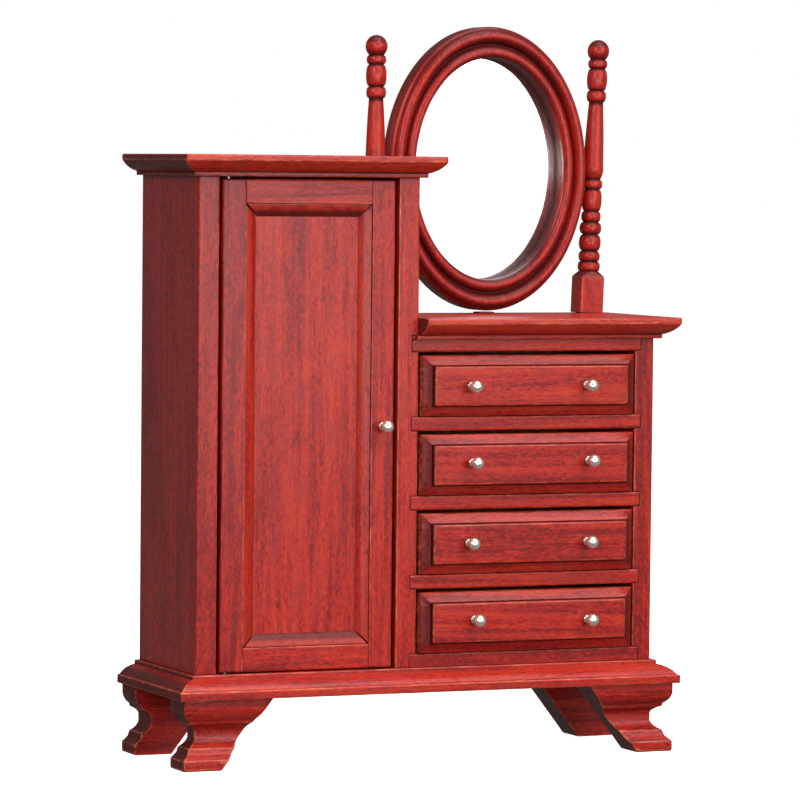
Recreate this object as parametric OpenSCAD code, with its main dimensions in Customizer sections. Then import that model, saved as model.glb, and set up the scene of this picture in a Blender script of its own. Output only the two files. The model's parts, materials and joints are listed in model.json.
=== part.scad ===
// Miniature wardrobe with a chest of four drawers and a tilting oval mirror, in millimetres.
// +Z is up and -Y is the front. The origin is at the bottom centre of the whole piece.

/* [Case] */
// Width of the case over its side boards
case_w = 100; // [94:1:112]
// Depth of the case from its front edges to its back
case_d = 32.3; // [30:0.1:40]
// Width of the wardrobe half, up to the right face of the partition
wardrobe_w = 47.4; // [44:0.1:50]
// Height of the wardrobe's side boards
wardrobe_h = 98.5; // [90:0.5:110]
// Height of the chest's side board
chest_h = 66.1; // [62:0.1:72]
// Thickness of the side boards and the partition
side_t = 4.4; // [3.6:0.1:5]
// Thickness of the two back panels
back_t = 1.6; // [1.2:0.1:2]
// Depth of the housings that hold the rails and dividers
housing_d = 1.4; // [1:0.1:1.6]

/* [Base and tops] */
// Thickness of the base board
base_t = 4.6; // [4.4:0.1:6]
// How far the base board stands out past the case
base_over = 4.7; // [4.4:0.1:5]
// Thickness of the moulded top boards
top_t = 3.45; // [3:0.05:5]
// How far the top boards stand out past the case
top_over = 4.4; // [4:0.1:4.6]
// Thickness of the fillet board under each top
fillet_t = 0.85; // [0.6:0.05:1.2]
// How far the fillet boards stand out past the case
fillet_over = 1.3; // [0.8:0.1:1.6]

/* [Feet] */
// Height of the feet
foot_h = 14.1; // [13.5:0.1:18]
// Depth of each foot, front to back
foot_d = 7.6; // [6:0.1:10]
// How far the feet stand back from the edge of the base board
foot_inset = 1.1; // [0.8:0.1:2]
// Length of a foot along the floor
foot_toe = 8; // [7:0.5:10]
// Length of a foot under the base board
foot_top = 19; // [16:0.5:24]

/* [Door] */
// Gap on each side of the door
door_gap = 0.85; // [0.6:0.05:1]
// Thickness of the door frame
door_t = 4; // [3.6:0.1:4.2]
// Width of the door's stiles
stile_w = 4.9; // [4.4:0.1:6]
// Height of the door's rails
door_rail_h = 4.8; // [4:0.1:6]
// Width of the mouldings round the door panel
panel_mould_w = 2.6; // [2:0.1:3.2]
// Depth of the door panel behind the face of the door frame
panel_set = 1.5; // [1.2:0.1:1.8]

/* [Drawers] */
// Height of the rail above the top drawer
top_rail_h = 2.5; // [2:0.1:4]
// Height of the rail under the bottom drawer
bottom_rail_h = 2.7; // [2:0.1:4]
// Thickness of the dividers between the drawers
divider_t = 2.8; // [2:0.1:3.2]
// Gap at each end of a drawer front
drawer_gap = 0.55; // [0.4:0.05:0.7]
// Gap above a drawer front
drawer_top_gap = 0.75; // [0.5:0.05:1]
// Width of the moulded edge round a drawer front
drawer_edge_w = 2.2; // [1.8:0.1:2.6]
// How far a drawer's raised field stands out from the case
drawer_raise = 2.4; // [1.8:0.1:2.6]
// Distance between the two knobs of a drawer
knob_spacing = 25.8; // [20:0.2:32]

/* [Mirror] */
// Width of the oval mirror frame
mirror_w = 44.6; // [44:0.1:45.2]
// Height of the oval mirror frame
mirror_h = 59; // [56:0.1:59]
// Width of the frame's moulded band at its top and bottom
band_w = 6.5; // [6.2:0.1:7]
// Width of the band at the sides, as a share of its width at the top
band_side_share = 0.83; // [0.8:0.01:1]
// Thickness of the mirror frame
mirror_t = 6.2; // [5:0.1:6.4]
// Outward lean of the right-hand mirror post, in degrees
post_lean = 2.1; // [1.8:0.1:2.4]

/* [Knobs] */
// Diameter of a knob's head
knob_head_d = 2.6; // [2.2:0.1:3]
// Distance from a knob's seat to the centre of its head
knob_reach = 2.7; // [2.4:0.1:3]

/* [Hidden] */
DRAWERS = [1, 2, 3, 4];
CASE_NODES = [
    "base_board", "foot_front_left", "foot_front_right", "foot_rear_left", "foot_rear_right",
    "left_side", "partition", "right_side", "wardrobe_back", "chest_back",
    "wardrobe_top_fillet", "wardrobe_top", "chest_top_fillet", "chest_top",
    "chest_top_rail", "drawer_divider_1", "drawer_divider_2", "drawer_divider_3", "chest_bottom_rail",
    "hanging_rail", "hinge_pins", "mirror_post_left", "mirror_post_right", "mirror_pivot_pins",
    "mirror_rest_peg"
];
DOOR_NODES = [
    "door_hinge_stile", "door_lock_stile", "door_top_rail", "door_bottom_rail",
    "door_panel", "door_panel_mouldings", "door_knob"
];
DRAWER_NODES = [
    for (n = DRAWERS) for (piece = ["front", "sides", "back", "bottom", "knobs"])
        str("drawer_", n, "_", piece)
];
MIRROR_NODES = ["mirror_frame", "mirror_glass", "mirror_backing"];

$fn = 48;
cut = 1;              // how far a cutting tool runs past the wood
arc_steps = 7;        // straight steps along each moulded curve
seat_gap = 0.15;      // working gap under a drawer, and at the mirror's rest peg

// Levels and planes of the case
x_left = -case_w / 2;
x_right = case_w / 2;
x_part = x_left + wardrobe_w;
front_reach = max(base_over, drawer_raise + knob_reach + knob_head_d / 2);
y_back = (case_d + front_reach) / 2;
y_front = y_back - case_d;
z_case = foot_h + base_t;
z_wardrobe = z_case + wardrobe_h;
z_chest = z_case + chest_h;
z_chest_top = z_chest + fillet_t + top_t;
right_side_t = side_t - 0.2;
chest_x0 = x_part;
chest_x1 = x_right - right_side_t;
y_inside_back = y_back - back_t;
rail_r = 0.9;
rail_y = (y_front + y_back) / 2 + 1.2;
rail_z = z_wardrobe - 9;

// Door
door_x0 = x_left + side_t + door_gap;
door_x1 = x_part - side_t - door_gap;
door_y0 = y_front + 0.15;
door_z0 = z_case + 0.25;
door_z1 = z_wardrobe - 0.5;
groove_d = 1.2;
groove_w = 1.2;
groove_y = door_y0 + panel_set;
hinge_inset = 1.6;
hinge_r = 0.5;
hinge_clear = 0.06;
hinge_x = door_x0 + hinge_inset;
hinge_y = door_y0 + hinge_inset;
pin_in_door = 4;
pin_in_case = 3;
door_knob_z = z_case + 0.495 * wardrobe_h;

// Drawers
openings_h = chest_h - top_rail_h - bottom_rail_h - 3 * divider_t;
opening_h = openings_h / 4;
drawer_pitch = opening_h + divider_t;
drawer_x0 = chest_x0 + drawer_gap;
drawer_x1 = chest_x1 - drawer_gap;
drawer_h = opening_h - drawer_top_gap - seat_gap;
drawer_front_t = 2.4;
drawer_back_y = y_inside_back - 0.7;
drawer_side_t = 2;
drawer_side_h = drawer_h - 2.6;
drawer_bottom_t = 1.2;
drawer_bottom_lift = 0.6;

// Knobs
knob_seat_d = 1.9;
knob_neck_d = 1.1;
knob_pin_d = 0.8;
knob_pin_l = 2.6;

// How far each drawer's left and right knob was bored off its true place, along X and up
knob_slips = [
    [[-0.7, 0], [-0.8, 0]],
    [[-0.3, 0.5], [-0.2, 0.6]],
    [[-0.9, 0.2], [-0.4, 0]],
    [[0.5, 0.6], [-0.1, 0]]
];

// Mirror and its posts
block_w = 5.3;
block_h = 7.6;
shoulder_h = 1.1;
neck_r = 1.65;
post_y = y_back - block_w / 2 - 0.05;
post_x_left = x_part + block_w / 2 + 0.05;
post_x_right = x_part + 51.35;
dowel_r = 1.2;
dowel_l = 3;
pivot_z = 119.15;
pivot_r = 0.5;
pivot_clear = 0.05;
pivot_in_frame = 2.2;
pivot_in_post = 2.6;
mirror_x = 25;
peg_w = 3.6;
peg_d = 3;
glass_t = 0.7;
backing_t = 0.3;
glass_set = mirror_t - glass_t - backing_t;
rebate_w = 1.1;
behind_pivot = 2.5;   // from the pivots to the back of the mirror
mirror_y0 = post_y + behind_pivot - mirror_t;
oval_steps = 72;
notch_d = block_w + 0.5;

// Turned beads of a post, upwards from the block: lower end, upper end, largest radius, neck radius
post_beads = [
    [8.8, 10.7, 2.35, 1.95],
    [10.9, 12.9, 2.25, 1.8],
    [13.1, 16.4, 2.3, 1.65],
    [16.6, 19.0, 2.3, 1.65],
    [19.2, 21.3, 2.05, 1.6],
    [21.5, 25.9, 2.1, 1.6],
    [26.1, 28.0, 2.1, 1.6]
];
upper_beads = [
    [44.4, 46.7, 2.05, 1.55],
    [46.9, 51.2, 2.13, 1.6],
    [51.4, 53.2, 2.02, 1.55]
];
belly_z = 31.2;
belly_r = 2.1;
taper_top_z = 44.2;
taper_top_r = 1.5;
finial_z = 55.05;
finial_h = 2.35;
finial_r = 2.28;

// Colours
wood = "#9c2a20";
wood_dark = "#7c2119";
wood_inside = "#8a3b2c";
brass = "#e3cf9b";
steel = "#b9bcc0";
silvered = "#eef2f4";

// ---- Profiles and shared shapes ----

// Points from p to q along a curve that swells by bow to the right of the way from p to q
function bowed(p, q, bow) = [
    for (i = [0 : arc_steps])
        let (t = i / arc_steps, along = q - p, out = [along[1], -along[0]] / norm(along))
        p + along * t + out * bow * 4 * t * (1 - t)
];

function shifted(points, by) = [for (p = points) [p[0], p[1] + by]];

// Edge of a top board, upwards: distance out from the case, height
top_edge = concat(bowed([fillet_over, 0], [top_over, top_t - 1.1], 0.42), [[top_over, top_t]]);

// Edge of the base board, upwards
base_step = 1;
plinth_h = 1.7;
base_edge = concat(
    [[base_over, 0], [base_over, plinth_h]],
    bowed([base_over - 0.45, plinth_h + 0.1], [base_step + 0.3, base_t - 0.9], 0.33),
    [[base_step, base_t - 0.8], [base_step, base_t]]
);

// Edge of a foot, upwards: distance in from its widest, height
foot_edge = concat(
    [[0.25, 0], [0, 0.3], [0, 2.1], [1.2, 3.2], [1.5, 4.1]],
    bowed([1.7, 4.4], [3.5, 6.1], 0.25),
    [[3.5, 7.6]],
    bowed([3.35, 8.1], [1.6, 9.2], 0.12),
    bowed([1.5, 9.8], [0, foot_h - 2], -0.3),
    [[0, foot_h]]
);

// A bar along X with the section given as [y, z] points
module bar_x(x0, x1, section) {
    translate([x0, 0, 0]) rotate([90, 0, 90]) linear_extrude(x1 - x0) polygon(section);
}

// A bar along Y with the section given as [x, z] points
module bar_y(y0, y1, section) {
    translate([0, y1, 0]) rotate([90, 0, 0]) linear_extrude(y1 - y0) polygon(section);
}

module board(x0, x1, y0, y1, z0, z1) {
    translate([x0, y0, z0]) cube([x1 - x0, y1 - y0, z1 - z0]);
}

// A flat board whose front and side edges carry the same moulding, mitred at the corners
module moulded_board(x0, x1, edge, z0, t, moulded_left) {
    reach = base_over + cut;
    front = concat([for (p = edge) [y_front - p[0], z0 + p[1]]], [[y_back, z0 + t], [y_back, z0]]);
    left = moulded_left ? [for (p = edge) [x0 - p[0], z0 + p[1]]] : [[x0, z0], [x0, z0 + t]];
    right = [for (i = [len(edge) - 1 : -1 : 0]) [x1 + edge[i][0], z0 + edge[i][1]]];
    intersection() {
        bar_x(x0 - reach, x1 + reach, front);
        bar_y(y_front - reach, y_back, concat(left, right));
    }
}

function bead(b) = [
    for (a = [0 : 22.5 : 180])
        [b[3] + (b[2] - b[3]) * sin(a), (b[0] + b[1]) / 2 - (b[1] - b[0]) / 2 * cos(a)]
];

// Point at angle a on an oval that lies inset from the rim at its top, and a share of that at its sides
function oval(a, inset) =
    [(mirror_w / 2 - band_side_share * inset) * cos(a), (mirror_h / 2 - inset) * sin(a)];

function oval_outline(inset) = [for (i = [0 : oval_steps - 1]) oval(i * 360 / oval_steps, inset)];

// A flat oval plate, standing upright, with its front face at y0
module oval_plate(inset, y0, t) {
    translate([mirror_x, y0 + t, pivot_z]) rotate([90, 0, 0]) linear_extrude(t)
        polygon(oval_outline(inset));
}

// ---- Base and feet ----

module base_board() {
    color(wood) difference() {
        moulded_board(x_left, x_right, base_edge, foot_h, base_t, true);
        translate([hinge_x, hinge_y, z_case - pin_in_case]) cylinder(r = hinge_r, h = pin_in_case + cut);
    }
}

// The foot at the front left: moulded on its front and outer faces, sawn off at a slant inside
module foot(moulded_front) {
    x0 = x_left - base_over + foot_inset;
    y0 = moulded_front ? y_front - base_over + foot_inset : y_back - foot_d;
    outer = [for (p = foot_edge) [x0 + p[0], p[1]]];
    inner = [[x0 + foot_top, foot_h], [x0 + foot_toe, 0]];
    front = moulded_front ? [for (p = foot_edge) [y0 + p[0], p[1]]] : [[y0, 0], [y0, foot_h]];
    intersection() {
        bar_y(y0, y0 + foot_d, concat(outer, inner));
        bar_x(x0 - cut, x0 + foot_top + cut, concat(front, [[y0 + foot_d, foot_h], [y0 + foot_d, 0]]));
    }
}

module foot_front_left() {
    color(wood) foot(true);
}

module foot_front_right() {
    color(wood) mirror([1, 0, 0]) foot(true);
}

module foot_rear_left() {
    color(wood_dark) foot(false);
}

module foot_rear_right() {
    color(wood_dark) mirror([1, 0, 0]) foot(false);
}

// ---- Case boards ----

function opening_z(n) = z_case + bottom_rail_h + (4 - n) * drawer_pitch;

// Housings cut across a board for the rails and dividers, from x0 to x1
module housings(x0, x1) {
    board(x0, x1, y_front - cut, y_inside_back, z_case - cut, z_case + bottom_rail_h);
    for (n = [1 : 3])
        board(x0, x1, y_front - cut, y_inside_back, opening_z(n) - divider_t, opening_z(n));
    board(x0, x1, y_front - cut, y_inside_back, z_chest - top_rail_h, z_chest);
}

// The round rail across the wardrobe, or the hole for one of its ends
module rail_length(x0, x1) {
    translate([x0, rail_y, rail_z]) rotate([0, 90, 0]) cylinder(r = rail_r, h = x1 - x0);
}

module left_side() {
    color(wood_dark) difference() {
        board(x_left, x_left + side_t, y_front, y_back, z_case, z_wardrobe);
        rail_length(x_left + side_t - housing_d, x_left + side_t + cut);
    }
}

module partition() {
    color(wood) difference() {
        board(x_part - side_t, x_part, y_front, y_back, z_case, z_wardrobe);
        housings(x_part - housing_d, x_part + cut);
        rail_length(x_part - side_t - cut, x_part - side_t + housing_d);
        board(x_part - housing_d, x_part + cut, y_front - cut, y_back + cut, z_chest, z_chest + fillet_t);
    }
}

module right_side() {
    color(wood) difference() {
        board(chest_x1, x_right, y_front, y_back, z_case, z_chest);
        housings(chest_x1 - cut, chest_x1 + housing_d);
    }
}

module wardrobe_back() {
    color(wood_inside) board(x_left + side_t, x_part - side_t, y_inside_back, y_back, z_case, z_wardrobe);
}

module chest_back() {
    color(wood_inside) board(chest_x0, chest_x1, y_inside_back, y_back, z_case, z_chest);
}

// ---- Tops ----

// The corner that is cut out of the wardrobe's top for the left mirror post
module post_notch(z0, z1) {
    board(x_part, x_part + base_over + cut, y_back - notch_d, y_back + cut, z0 - cut, z1 + cut);
}

module wardrobe_top_fillet() {
    z0 = z_wardrobe;
    color(wood) difference() {
        board(x_left - fillet_over, x_part + fillet_over, y_front - fillet_over, y_back, z0, z0 + fillet_t);
        post_notch(z0, z0 + fillet_t);
        translate([hinge_x, hinge_y, z0 - cut]) cylinder(r = hinge_r, h = fillet_t + 2 * cut);
    }
}

module wardrobe_top() {
    z0 = z_wardrobe + fillet_t;
    color(wood) difference() {
        moulded_board(x_left, x_part, top_edge, z0, top_t, true);
        post_notch(z0, z0 + top_t);
        translate([hinge_x, hinge_y, z0 - cut]) cylinder(r = hinge_r, h = cut + pin_in_case - fillet_t);
    }
}

// The fillet board is let into the partition, and laps a little over its front edge
module chest_top_fillet() {
    color(wood) {
        board(x_part - housing_d, x_part, y_front, y_back, z_chest, z_chest + fillet_t);
        board(x_part - 0.7, x_part, y_front - fillet_over, y_front, z_chest, z_chest + fillet_t);
        board(x_part, x_right + fillet_over, y_front - fillet_over, y_back, z_chest, z_chest + fillet_t);
    }
}

module chest_top() {
    color(wood) difference() {
        moulded_board(x_part, x_right, top_edge, z_chest + fillet_t, top_t, false);
        for (x = [post_x_left, post_x_right])
            translate([x, post_y, z_chest_top - dowel_l]) cylinder(r = dowel_r, h = dowel_l + cut);
    }
}

// ---- Chest rails and dividers ----

// A rail or divider between the partition and the right side, its ends in their housings
module chest_shelf(z0, t, depth) {
    board(chest_x0 - housing_d, chest_x1 + housing_d, y_front, y_front + depth, z0, z0 + t);
}

module chest_top_rail() {
    color(wood) chest_shelf(z_chest - top_rail_h, top_rail_h, y_inside_back - y_front);
}

module drawer_divider(n) {
    color(wood) chest_shelf(opening_z(n) - divider_t, divider_t, y_inside_back - y_front);
}

module chest_bottom_rail() {
    color(wood) chest_shelf(z_case, bottom_rail_h, y_inside_back - y_front);
}

module hanging_rail() {
    color(wood_inside) rail_length(x_left + side_t - housing_d, x_part - side_t + housing_d);
}

// ---- Door ----

// One pin stands in the base board and one hangs from the top: the door turns on them
module hinge_pins() {
    color(steel) {
        translate([hinge_x, hinge_y, z_case - pin_in_case])
            cylinder(r = hinge_r, h = pin_in_case + door_z0 - z_case + pin_in_door - 0.2);
        translate([hinge_x, hinge_y, door_z1 - pin_in_door + 0.2])
            cylinder(r = hinge_r, h = pin_in_door - 0.2 + z_wardrobe - door_z1 + pin_in_case);
    }
}

module door_hinge_stile() {
    color(wood) difference() {
        board(door_x0, door_x0 + stile_w, door_y0, door_y0 + door_t, door_z0, door_z1);
        board(door_x0 + stile_w - groove_d, door_x0 + stile_w + cut,
            groove_y, groove_y + groove_w, door_z0 - cut, door_z1 + cut);
        for (z = [door_z0 - cut, door_z1 - pin_in_door])
            translate([hinge_x, hinge_y, z]) cylinder(r = hinge_r + hinge_clear, h = pin_in_door + cut);
    }
}

module door_lock_stile() {
    color(wood) difference() {
        board(door_x1 - stile_w, door_x1, door_y0, door_y0 + door_t, door_z0, door_z1);
        board(door_x1 - stile_w - cut, door_x1 - stile_w + groove_d,
            groove_y, groove_y + groove_w, door_z0 - cut, door_z1 + cut);
        translate([door_x1 - stile_w / 2, door_y0, door_knob_z]) rotate([-90, 0, 0])
            cylinder(d = knob_pin_d, h = knob_pin_l);
    }
}

// A rail between the stiles, with a tongue at each end and a groove for the panel on one edge
module door_rail(z0, groove_z) {
    x0 = door_x0 + stile_w;
    x1 = door_x1 - stile_w;
    tongue = groove_d - 0.05;
    difference() {
        union() {
            board(x0, x1, door_y0, door_y0 + door_t, z0, z0 + door_rail_h);
            board(x0 - tongue, x1 + tongue, groove_y, groove_y + groove_w, z0, z0 + door_rail_h);
        }
        board(x0 - 2 * groove_d, x1 + 2 * groove_d, groove_y, groove_y + groove_w, groove_z, groove_z + groove_d);
    }
}

module door_top_rail() {
    z0 = door_z1 - door_rail_h;
    color(wood) door_rail(z0, z0);
}

module door_bottom_rail() {
    color(wood) door_rail(door_z0, door_z0 + door_rail_h - groove_d);
}

module door_panel() {
    edge = groove_d - 0.05;
    color(wood) board(door_x0 + stile_w - edge, door_x1 - stile_w + edge, groove_y, groove_y + groove_w,
        door_z0 + door_rail_h - edge, door_z1 - door_rail_h + edge);
}

// A rounded strip along each edge of the opening, mitred where two meet
module door_panel_mouldings() {
    x0 = door_x0 + stile_w;
    x1 = door_x1 - stile_w;
    z0 = door_z0 + door_rail_h;
    z1 = door_z1 - door_rail_h;
    section = concat(bowed([0, 0.15], [panel_mould_w, panel_set], 0.3), [[0, panel_set]]);
    sight = panel_mould_w;
    color(wood) {
        // The strips along the two stiles, then those along the two rails
        for (side = [0, 1])
            intersection() {
                translate([side * (x0 + x1), 0, 0]) mirror([side, 0, 0]) linear_extrude(z1)
                    polygon([for (p = section) [x0 + p[0], door_y0 + p[1]]]);
                bar_y(door_y0, groove_y, side == 0
                    ? [[x0, z0], [x0 + sight, z0 + sight], [x0 + sight, z1 - sight], [x0, z1]]
                    : [[x1, z0], [x1 - sight, z0 + sight], [x1 - sight, z1 - sight], [x1, z1]]);
            }
        for (side = [0, 1])
            intersection() {
                translate([0, 0, side * (z0 + z1)]) mirror([0, 0, side])
                    bar_x(x0, x1, [for (p = section) [door_y0 + p[1], z0 + p[0]]]);
                bar_y(door_y0, groove_y, side == 0
                    ? [[x0, z0], [x0 + sight, z0 + sight], [x1 - sight, z0 + sight], [x1, z0]]
                    : [[x0, z1], [x0 + sight, z1 - sight], [x1 - sight, z1 - sight], [x1, z1]]);
            }
    }
}

// A turned knob with its axis along -Y, its seat on the plane y = 0 and its pin behind that
module knob() {
    head_r = knob_head_d / 2;
    neck_r = knob_neck_d / 2;
    seat_r = knob_seat_d / 2;
    start = asin(neck_r / head_r);
    head = [for (a = [start : (180 - start) / 10 : 179]) [head_r * sin(a), knob_reach - head_r * cos(a)]];
    profile = concat(
        [[0, -knob_pin_l], [knob_pin_d / 2, -knob_pin_l], [knob_pin_d / 2, 0]],
        [[seat_r, 0], [seat_r, 0.25], [neck_r, 0.6]],
        head,
        [[0, knob_reach + head_r]]
    );
    rotate([90, 0, 0]) rotate_extrude() polygon(profile);
}

module door_knob() {
    color(brass) translate([door_x1 - stile_w / 2, door_y0, door_knob_z]) knob();
}

// ---- Drawers ----

// Moulded edge of a drawer front, inwards from its rim: distance in, distance out from the case
drawer_edge = concat(
    [[0, 0], [0, 0.35]],
    bowed([0.15, 0.7], [0.75, 1.15], -0.1),
    [[drawer_edge_w - 0.35, drawer_raise - 0.85], [drawer_edge_w - 0.25, drawer_raise - 0.95]],
    [[drawer_edge_w - 0.2, drawer_raise - 0.35], [drawer_edge_w, drawer_raise - 0.08]],
    [[drawer_edge_w + 0.3, drawer_raise]]
);

function ends(low, high) = concat(
    [for (p = drawer_edge) [low + p[0], y_front - p[1]]],
    [for (i = [len(drawer_edge) - 1 : -1 : 0]) [high - drawer_edge[i][0], y_front - drawer_edge[i][1]]],
    [[high, y_front + drawer_front_t], [low, y_front + drawer_front_t]]
);

// Where a knob meets the field of drawer n, on the left (side 0) or on the right (side 1)
function knob_place(n, side) =
    let (slip = knob_slips[n - 1][side])
    [(drawer_x0 + drawer_x1) / 2 + (side - 0.5) * knob_spacing + slip[0], y_front - drawer_raise,
     opening_z(n) + seat_gap + drawer_h / 2 + slip[1]];

module drawer_front(n) {
    z0 = opening_z(n) + seat_gap;
    z1 = z0 + drawer_h;
    color(wood) difference() {
        intersection() {
            translate([0, 0, z0]) linear_extrude(drawer_h) polygon(ends(drawer_x0, drawer_x1));
            bar_x(drawer_x0, drawer_x1, [for (p = ends(z0, z1)) [p[1], p[0]]]);
        }
        for (side = [0, 1])
            translate(knob_place(n, side)) rotate([-90, 0, 0]) cylinder(d = knob_pin_d, h = knob_pin_l);
    }
}

module drawer_sides(n) {
    z0 = opening_z(n) + seat_gap;
    y0 = y_front + drawer_front_t;
    color(wood_inside) {
        board(drawer_x0, drawer_x0 + drawer_side_t, y0, drawer_back_y, z0, z0 + drawer_side_h);
        board(drawer_x1 - drawer_side_t, drawer_x1, y0, drawer_back_y, z0, z0 + drawer_side_h);
    }
}

module drawer_back(n) {
    z0 = opening_z(n) + seat_gap + drawer_bottom_lift + drawer_bottom_t;
    color(wood_inside) board(drawer_x0 + drawer_side_t, drawer_x1 - drawer_side_t,
        drawer_back_y - drawer_side_t, drawer_back_y, z0, opening_z(n) + seat_gap + drawer_side_h);
}

module drawer_bottom(n) {
    z0 = opening_z(n) + seat_gap + drawer_bottom_lift;
    color(wood_inside) board(drawer_x0 + drawer_side_t, drawer_x1 - drawer_side_t,
        y_front + drawer_front_t, drawer_back_y, z0, z0 + drawer_bottom_t);
}

module drawer_knobs(n) {
    color(brass) for (side = [0, 1]) translate(knob_place(n, side)) knob();
}

// ---- Mirror ----

// The turned part of a post, above its square block
module post_turning() {
    start = asin(neck_r / finial_r);
    finial = [for (a = [start : (180 - start) / 9 : 179])
        [finial_r * sin(a), finial_z - finial_h * cos(a)]];
    profile = concat(
        [[0, block_h - 0.5], [2.05, block_h - 0.5], [2.05, block_h + shoulder_h]],
        [for (b = post_beads) for (p = bead(b)) p],
        bowed([neck_r, 28.2], [belly_r, belly_z], 0.25),
        [[belly_r - 0.03, belly_z + 1.2], [taper_top_r, taper_top_z]],
        [for (b = upper_beads) for (p = bead(b)) p],
        finial,
        [[0, finial_z + finial_h]]
    );
    rotate_extrude() polygon(profile);
}

// A post standing on z = 0: a square block with shoulders cut round to meet the turning
module post() {
    half = block_w / 2;
    translate([-half, -half, -cut]) cube([block_w, block_w, block_h + cut]);
    intersection() {
        translate([-half, -half, block_h]) cube([block_w, block_w, shoulder_h]);
        translate([0, 0, block_h]) cylinder(r1 = half * sqrt(2), r2 = 2.1, h = shoulder_h);
    }
    post_turning();
}

// The hole for a pivot pin runs level, whatever the lean of the post
module standing_post(x, lean, pin_x0, pin_x1) {
    difference() {
        translate([x, post_y, z_chest_top]) rotate([0, lean, 0]) post();
        board(x - block_w, x + block_w, post_y - block_w, post_y + block_w,
            z_chest_top - 3 * cut, z_chest_top);
        translate([pin_x0, post_y, pivot_z]) rotate([0, 90, 0]) cylinder(r = pivot_r, h = pin_x1 - pin_x0);
    }
    translate([x, post_y, z_chest_top - dowel_l]) cylinder(r = dowel_r, h = dowel_l + 0.5);
}

pin_left_x0 = post_x_left + 2 - pivot_in_post;
pin_left_x1 = mirror_x - mirror_w / 2 + pivot_in_frame;
pin_right_x0 = mirror_x + mirror_w / 2 - pivot_in_frame;
pin_right_x1 = post_x_right + (pivot_z - z_chest_top) * tan(post_lean) - 2 + pivot_in_post;

module mirror_post_left() {
    color(wood) standing_post(post_x_left, 0, pin_left_x0, pin_left_x1);
}

module mirror_post_right() {
    color(wood) standing_post(post_x_right, post_lean, pin_right_x0, pin_right_x1);
}

module mirror_pivot_pins() {
    color(steel) {
        translate([pin_left_x0, post_y, pivot_z]) rotate([0, 90, 0])
            cylinder(r = pivot_r, h = pin_left_x1 - 0.2 - pin_left_x0);
        translate([pin_right_x0 + 0.2, post_y, pivot_z]) rotate([0, 90, 0])
            cylinder(r = pivot_r, h = pin_right_x1 - 0.2 - pin_right_x0);
    }
}

module mirror_rest_peg() {
    top = pivot_z - mirror_h / 2 - seat_gap - 0.1;
    color(wood_dark) board(mirror_x - peg_w / 2, mirror_x + peg_w / 2,
        post_y - peg_d / 2, post_y + peg_d / 2, z_chest_top, top);
}

// Section of the frame's band: distance in from the rim, distance back from its front face
lip_w = 0.6;
outer_bead_w = 2.7;
inner_bead_w = 2.5;
bead_h = 1.5;
inner_bead_at = band_w - inner_bead_w;
frame_section = concat(
    [[0, 2.1], [0.2, 1.75]],
    [for (a = [0 : 30 : 180]) [lip_w + outer_bead_w * (1 - cos(a)) / 2, bead_h * (1 - sin(a))]],
    [[lip_w + outer_bead_w + 0.15, 1.85], [inner_bead_at - 0.15, 1.85]],
    [for (a = [0 : 30 : 180]) [inner_bead_at + inner_bead_w * (1 - cos(a)) / 2, 0.3 + 1.2 * (1 - sin(a))]],
    [[band_w, glass_set], [band_w - rebate_w, glass_set], [band_w - rebate_w, mirror_t], [0.3, mirror_t]],
    [[0, mirror_t - 0.3]]
);

// The section swept round the oval, as one closed ring
module frame_ring() {
    n = len(frame_section);
    points = [
        for (i = [0 : oval_steps - 1]) for (s = frame_section)
            let (p = oval(i * 360 / oval_steps, s[0]))
            [mirror_x + p[0], mirror_y0 + s[1], pivot_z + p[1]]
    ];
    faces = [
        for (i = [0 : oval_steps - 1]) for (j = [0 : n - 1])
            let (i2 = (i + 1) % oval_steps, j2 = (j + 1) % n)
            [i * n + j, i * n + j2, i2 * n + j2, i2 * n + j]
    ];
    polyhedron(points, faces, 4);
}

module mirror_frame() {
    bore = pivot_r + pivot_clear;
    color(wood) difference() {
        frame_ring();
        translate([mirror_x - mirror_w / 2 - cut, post_y, pivot_z]) rotate([0, 90, 0])
            cylinder(r = bore, h = pivot_in_frame + cut);
        translate([mirror_x + mirror_w / 2 - pivot_in_frame, post_y, pivot_z]) rotate([0, 90, 0])
            cylinder(r = bore, h = pivot_in_frame + cut);
    }
}

module mirror_glass() {
    color(silvered) oval_plate(band_w - rebate_w + 0.05, mirror_y0 + glass_set, glass_t);
}

module mirror_backing() {
    color(wood_dark) oval_plate(band_w - rebate_w + 0.05, mirror_y0 + glass_set + glass_t, backing_t);
}

base_board();
foot_front_left();
foot_front_right();
foot_rear_left();
foot_rear_right();
left_side();
partition();
right_side();
wardrobe_back();
chest_back();
wardrobe_top_fillet();
wardrobe_top();
chest_top_fillet();
chest_top();
chest_top_rail();
for (n = [1 : 3])
    drawer_divider(n);
chest_bottom_rail();
hanging_rail();
hinge_pins();
mirror_post_left();
mirror_post_right();
mirror_pivot_pins();
mirror_rest_peg();
door_hinge_stile();
door_lock_stile();
door_top_rail();
door_bottom_rail();
door_panel();
door_panel_mouldings();
door_knob();
for (n = DRAWERS) {
    drawer_front(n);
    drawer_sides(n);
    drawer_back(n);
    drawer_bottom(n);
    drawer_knobs(n);
}
mirror_frame();
mirror_glass();
mirror_backing();
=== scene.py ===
"""Looks of a miniature wardrobe: finished woodwork, turned posts, oval mirror, knobs and a plain studio.

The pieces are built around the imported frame, in metres, and each one rides on its body."""

import json
import math
import random

import bmesh
import bpy
import numpy as np
from bpy.props import FloatProperty, FloatVectorProperty, IntProperty, PointerProperty
from mathutils import Matrix, Vector
from mathutils.bvhtree import BVHTree


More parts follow.
